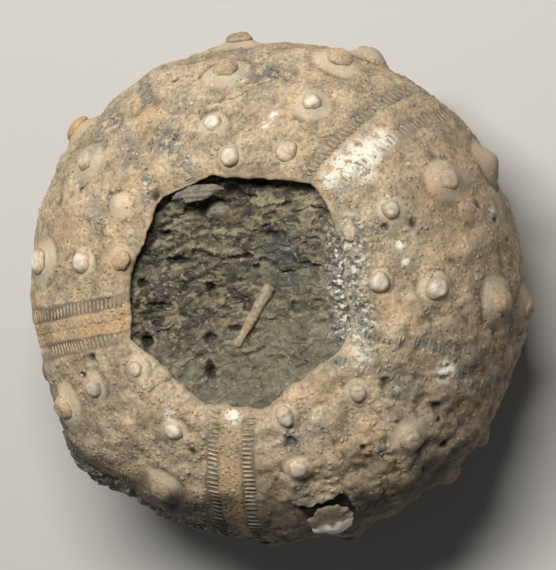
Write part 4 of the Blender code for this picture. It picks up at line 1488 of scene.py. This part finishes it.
# %% [markdown]
# ## Loose fragments
#
# Three pieces came off and were cemented where they lie: a length of spine on the sediment, a
# plate that slipped out of the mouth's edge, and a broken plate of the wall that sprang up from
# its hollow. Each is a closed form worked in a grid of its own: a tube for the spine, and for the
# plates a flattened ball with an uneven outline.

# %% Spine fragment
SPINE_RADII = (0.00030, 0.00048)
SPINE_STEPS = 40
SPINE_ROWS = 70


def spine_level(x, y):
    """The spine is half sunk in the sediment."""
    return float(sediment_level(x, y)) + SPINE_BED


spine_start, spine_end = (Vector((x, y, spine_level(x, y))) for x, y in SPINE_ENDS)
spine_axis = (spine_end - spine_start).normalized()
spine_side = spine_axis.cross(Vector((0, 0, 1))).normalized()
spine_up = spine_side.cross(spine_axis)


def spine_ring(share):
    """A ring of the tapered tube: faintly ribbed, worn, rounded at its ends and a little flat."""
    turn = np.arange(SPINE_STEPS) * 2 * np.pi / SPINE_STEPS
    middle = np.array(spine_start.lerp(spine_end, share))
    way_out = np.cos(turn)[:, None] * np.array(spine_side) + np.sin(turn)[:, None] * np.array(spine_up)
    thick = SPINE_RADII[0] + share * (SPINE_RADII[1] - SPINE_RADII[0])
    ribs = 0.05 * np.sin(9 * turn + 2 * share)
    rough = 0.22 * layers(middle + thick * way_out, 0.0009, 3, 81)
    end_wear = 1 - 0.55 * (1 - min(share / 0.04, 1)) ** 2 - 0.5 * (1 - min((1 - share) / 0.03, 1)) ** 2
    reach = thick * (1 + ribs + rough) * end_wear
    flattened = np.array((0, 0, 0.45)) * (reach * np.sin(turn))[:, None]
    return middle + reach[:, None] * way_out - flattened


rings = [np.array([tuple(spine_start)])]
rings += [spine_ring(row / SPINE_ROWS) for row in range(SPINE_ROWS + 1)]
rings.append(np.array([tuple(spine_end)]))
spine = add_piece("spine_piece", ring_mesh("spine_piece", rings))


# %% Plates
PLATE_ROWS = 48
PLATE_STEPS = 96


def plate_mesh(name, size, edge_power, seed, shape, pale_below=-1.0):
    """A flattened ball with an uneven outline. shape bends it: it takes and returns points.
    Its white mask rises below a level of Y, given as a share of its width."""
    turn = np.arange(PLATE_STEPS) * 2 * np.pi / PLATE_STEPS
    rings = [np.array([(0.0, 0.0, -0.5)])]
    for tilt in np.linspace(-np.pi / 2, np.pi / 2, PLATE_ROWS + 1)[1:-1]:
        wide = math.cos(tilt) ** edge_power / 2
        rings.append(np.stack((wide * np.cos(turn), wide * np.sin(turn),
                               np.full(PLATE_STEPS, math.sin(tilt) / 2)), 1))
    rings.append(np.array([(0.0, 0.0, 0.5)]))
    made, white = [], []
    for ring in rings:
        direction = np.stack((ring[:, 0], ring[:, 1], np.zeros(len(ring))), 1)
        length = np.maximum(np.linalg.norm(direction, axis=1), 1e-9)[:, None]
        ragged = 1 + 0.20 * layers(direction / length, 0.6, 3, seed)[:, None]
        ring = ring * np.concatenate((ragged, ragged, np.ones_like(ragged)), 1) * np.array(size)
        ring = ring + 0.06 * size[2] * layers(ring, 0.0007, 3, seed + 5)[:, None]
        white.append(ease(0.12, -0.12, ring[:, 1] / size[1] - pale_below + 0.2 * noise(ring, 0.0007, 7)))
        made.append(shape(ring))
    return ring_mesh(name, made, {"white": white})


def placed(mesh, location, turn):
    """Turn and move a mesh, so that its object can stay at the origin."""
    matrix = turn.to_4x4()
    matrix.translation = location
    mesh.transform(matrix)
    return mesh


# %% Slipped plate at the mouth's edge
PLATE_CENTRE = (-0.0040, 0.0086, 0.0232)
PLATE_SIZE = (0.0043, 0.0013, 0.0007)
PLATE_AZIMUTH = 11
PLATE_TILT = -12


def plate_bend(points):
    """Growth lines run along the plate, and its long edge is thin."""
    lines = 0.00004 * np.sin(points[:, 1] * 14000 + 2 * np.sin(points[:, 0] * 900))
    bow = -18 * points[:, 0] ** 2
    return points + np.stack((0 * lines, bow, lines), 1)


plate_turn = Matrix.Rotation(math.radians(PLATE_AZIMUTH), 3, "Z") \
    @ Matrix.Rotation(math.radians(PLATE_TILT), 3, "X")
plate = add_piece("slipped_plate", placed(plate_mesh("slipped_plate", PLATE_SIZE, 0.8, 91, plate_bend),
                                          Vector(PLATE_CENTRE), plate_turn))

# %% Sprung chip
CHIP_LIFT = 10


def chip_bend(points):
    """The chip keeps the curve of the wall, and its lower lobe swells like the bowl of a spoon."""
    lobe = 0.00030 * knoll(np.hypot(points[:, 0] / 0.0016, (points[:, 1] + 0.0006) / 0.0012))
    curve = -22 * points[:, 0] ** 2
    return points + np.stack((0 * lobe, 0 * lobe, lobe + curve), 1)


turn = math.radians(CHIP_AZIMUTH)
radius, height, out, up = (float(value) for value in dome(CHIP_DISTANCE + 0.0004))
chip_out = Vector((out * math.cos(turn), out * math.sin(turn), up))
chip_side = Vector((-math.sin(turn), math.cos(turn), 0))
chip_turn = Matrix((chip_side, chip_out.cross(chip_side), chip_out)).transposed() \
    @ Matrix.Rotation(math.radians(-CHIP_LIFT), 3, "X")
stand_off = GAP + CHIP_SIZE[2] / 2 - CHIP_HOLLOW + CHIP_SIZE[1] / 2 * math.sin(math.radians(CHIP_LIFT))
chip_place = Vector((radius * math.cos(turn), radius * math.sin(turn), height)) + chip_out * stand_off
chip = add_piece("sprung_chip", placed(plate_mesh("sprung_chip", CHIP_SIZE, 0.6, 97, chip_bend, -0.05),
                                       chip_place, chip_turn))

# %% Fragment finish
chip_stone = tinted_finish("chip_calcite", (0.18, 0.145, 0.10), CALCITE, 0.5, 1.0,
                           warm=(0.27, 0.20, 0.135), cool=(0.12, 0.115, 0.09), cool_share=0.6)
plate_stone = StoneFinish("plate_calcite", (0.200, 0.185, 0.145), (0.18, 0.155, 0.105),
                          (0.11, 0.115, 0.105), HOLLOW_SHADE_BROWN, (0.34, 0.32, 0.25), cool_share=0.7).finished()
spine_stone = StoneFinish("spine_calcite", (0.319, 0.26, 0.177), (0.389, 0.289, 0.177),
                          (0.236, 0.218, 0.165), HOLLOW_SHADE_BROWN, PALE_TAN, cool_share=0.5).finished()
for piece, stone in ((spine, spine_stone), (plate, plate_stone), (chip, chip_stone)):
    piece.data.materials.append(stone)

# %% [markdown]
# ## Join the looks to the frame
#
# Every piece rides on the imported body. The finished pieces stand for the plain solids.

# %% Ride and replace
for helper in (grain_shape, bead_shape, knob_shape, rung_shape):
    bpy.data.objects.remove(helper, do_unlink=True)

SLOTS = {
    "shell_calcite": (shell, top_grains, under_grains, knobs, beads, rungs),
    "sediment": (sediment, crumbs),
    "fragment_calcite": (spine, plate, chip),
}
for slot_name, members in SLOTS.items():
    for piece in members:
        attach(piece, "root")
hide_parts("shell")
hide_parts("sediment_infill")
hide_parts("spine_fragment")
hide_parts("rim_plate")
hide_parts("shell_chip")

# %% [markdown]
# ## Floor, lights and camera
#
# The fossil lies on a pale sheet. The main light is a long narrow one behind it, twice as high as
# it is far, so that every grain has a bright and a shaded side. A wide weak one fills from the
# front.
# The camera looks almost straight down through a long lens.

# %% Floor
bpy.ops.mesh.primitive_plane_add(size=1.2, location=(0, 0, 0))
floor = bpy.context.active_object
floor.name = "floor"
paper = bpy.data.materials.new("paper")
paper.use_nodes = True
paper.node_tree.nodes["Principled BSDF"].inputs["Base Color"].default_value = (0.56, 0.55, 0.53, 1)
paper.node_tree.nodes["Principled BSDF"].inputs["Roughness"].default_value = 0.9
floor.data.materials.append(paper)


# %% Lights
def area_light(name, place_at, width, depth, power, colour):
    lamp = bpy.data.lights.new(name, "AREA")
    lamp.shape = "RECTANGLE"
    lamp.size = width
    lamp.size_y = depth
    lamp.energy = power
    lamp.color = colour
    item = bpy.data.objects.new(name, lamp)
    item.location = place_at
    towards = Vector((0, 0, WIDEST_LEVEL)) - Vector(place_at)
    item.rotation_euler = towards.to_track_quat("-Z", "Y").to_euler()
    bpy.context.scene.collection.objects.link(item)
    return item


area_light("main_light", (-0.026, 0.130, 0.261), 0.20, 0.045, 1.07, (1.0, 0.975, 0.93))
area_light("fill_light", (0.02, -0.22, 0.26), 0.30, 0.30, 0.04, (0.95, 0.97, 1.0))
world = bpy.data.worlds.new("studio")
bpy.context.scene.world = world
world.use_nodes = True
world.node_tree.nodes["Background"].inputs["Color"].default_value = (0.95, 0.97, 1.0, 1)
world.node_tree.nodes["Background"].inputs["Strength"].default_value = 0.04
bpy.context.scene.view_settings.view_transform = "Standard"

# %% Camera
LEAN_RIGHT = math.radians(13.6)
LEAN_UP = math.radians(2.4)
VIEW_HEIGHT = 0.04828
LENS = 260.0
FILM = 36.0
AIM_SHIFT = (0.000085, 0.000593)

to_camera = Vector((math.sin(LEAN_RIGHT), math.sin(LEAN_UP) * math.cos(LEAN_RIGHT),
                    math.cos(LEAN_RIGHT) * math.cos(LEAN_UP))).normalized()
right = Vector((0, 1, 0)).cross(to_camera).normalized()
upward = to_camera.cross(right)
aim = Vector((0, 0, WIDEST_LEVEL)) + AIM_SHIFT[0] * right + AIM_SHIFT[1] * upward
camera_data = bpy.data.cameras.new("camera")
camera_data.lens = LENS
camera_data.sensor_width = FILM
camera = bpy.data.objects.new("camera", camera_data)
bpy.context.scene.collection.objects.link(camera)
camera.location = aim + to_camera * (VIEW_HEIGHT * LENS / FILM)
camera.rotation_euler = Matrix((right, upward, to_camera)).transposed().to_euler()
camera_data.clip_start = 0.01
bpy.context.scene.camera = camera
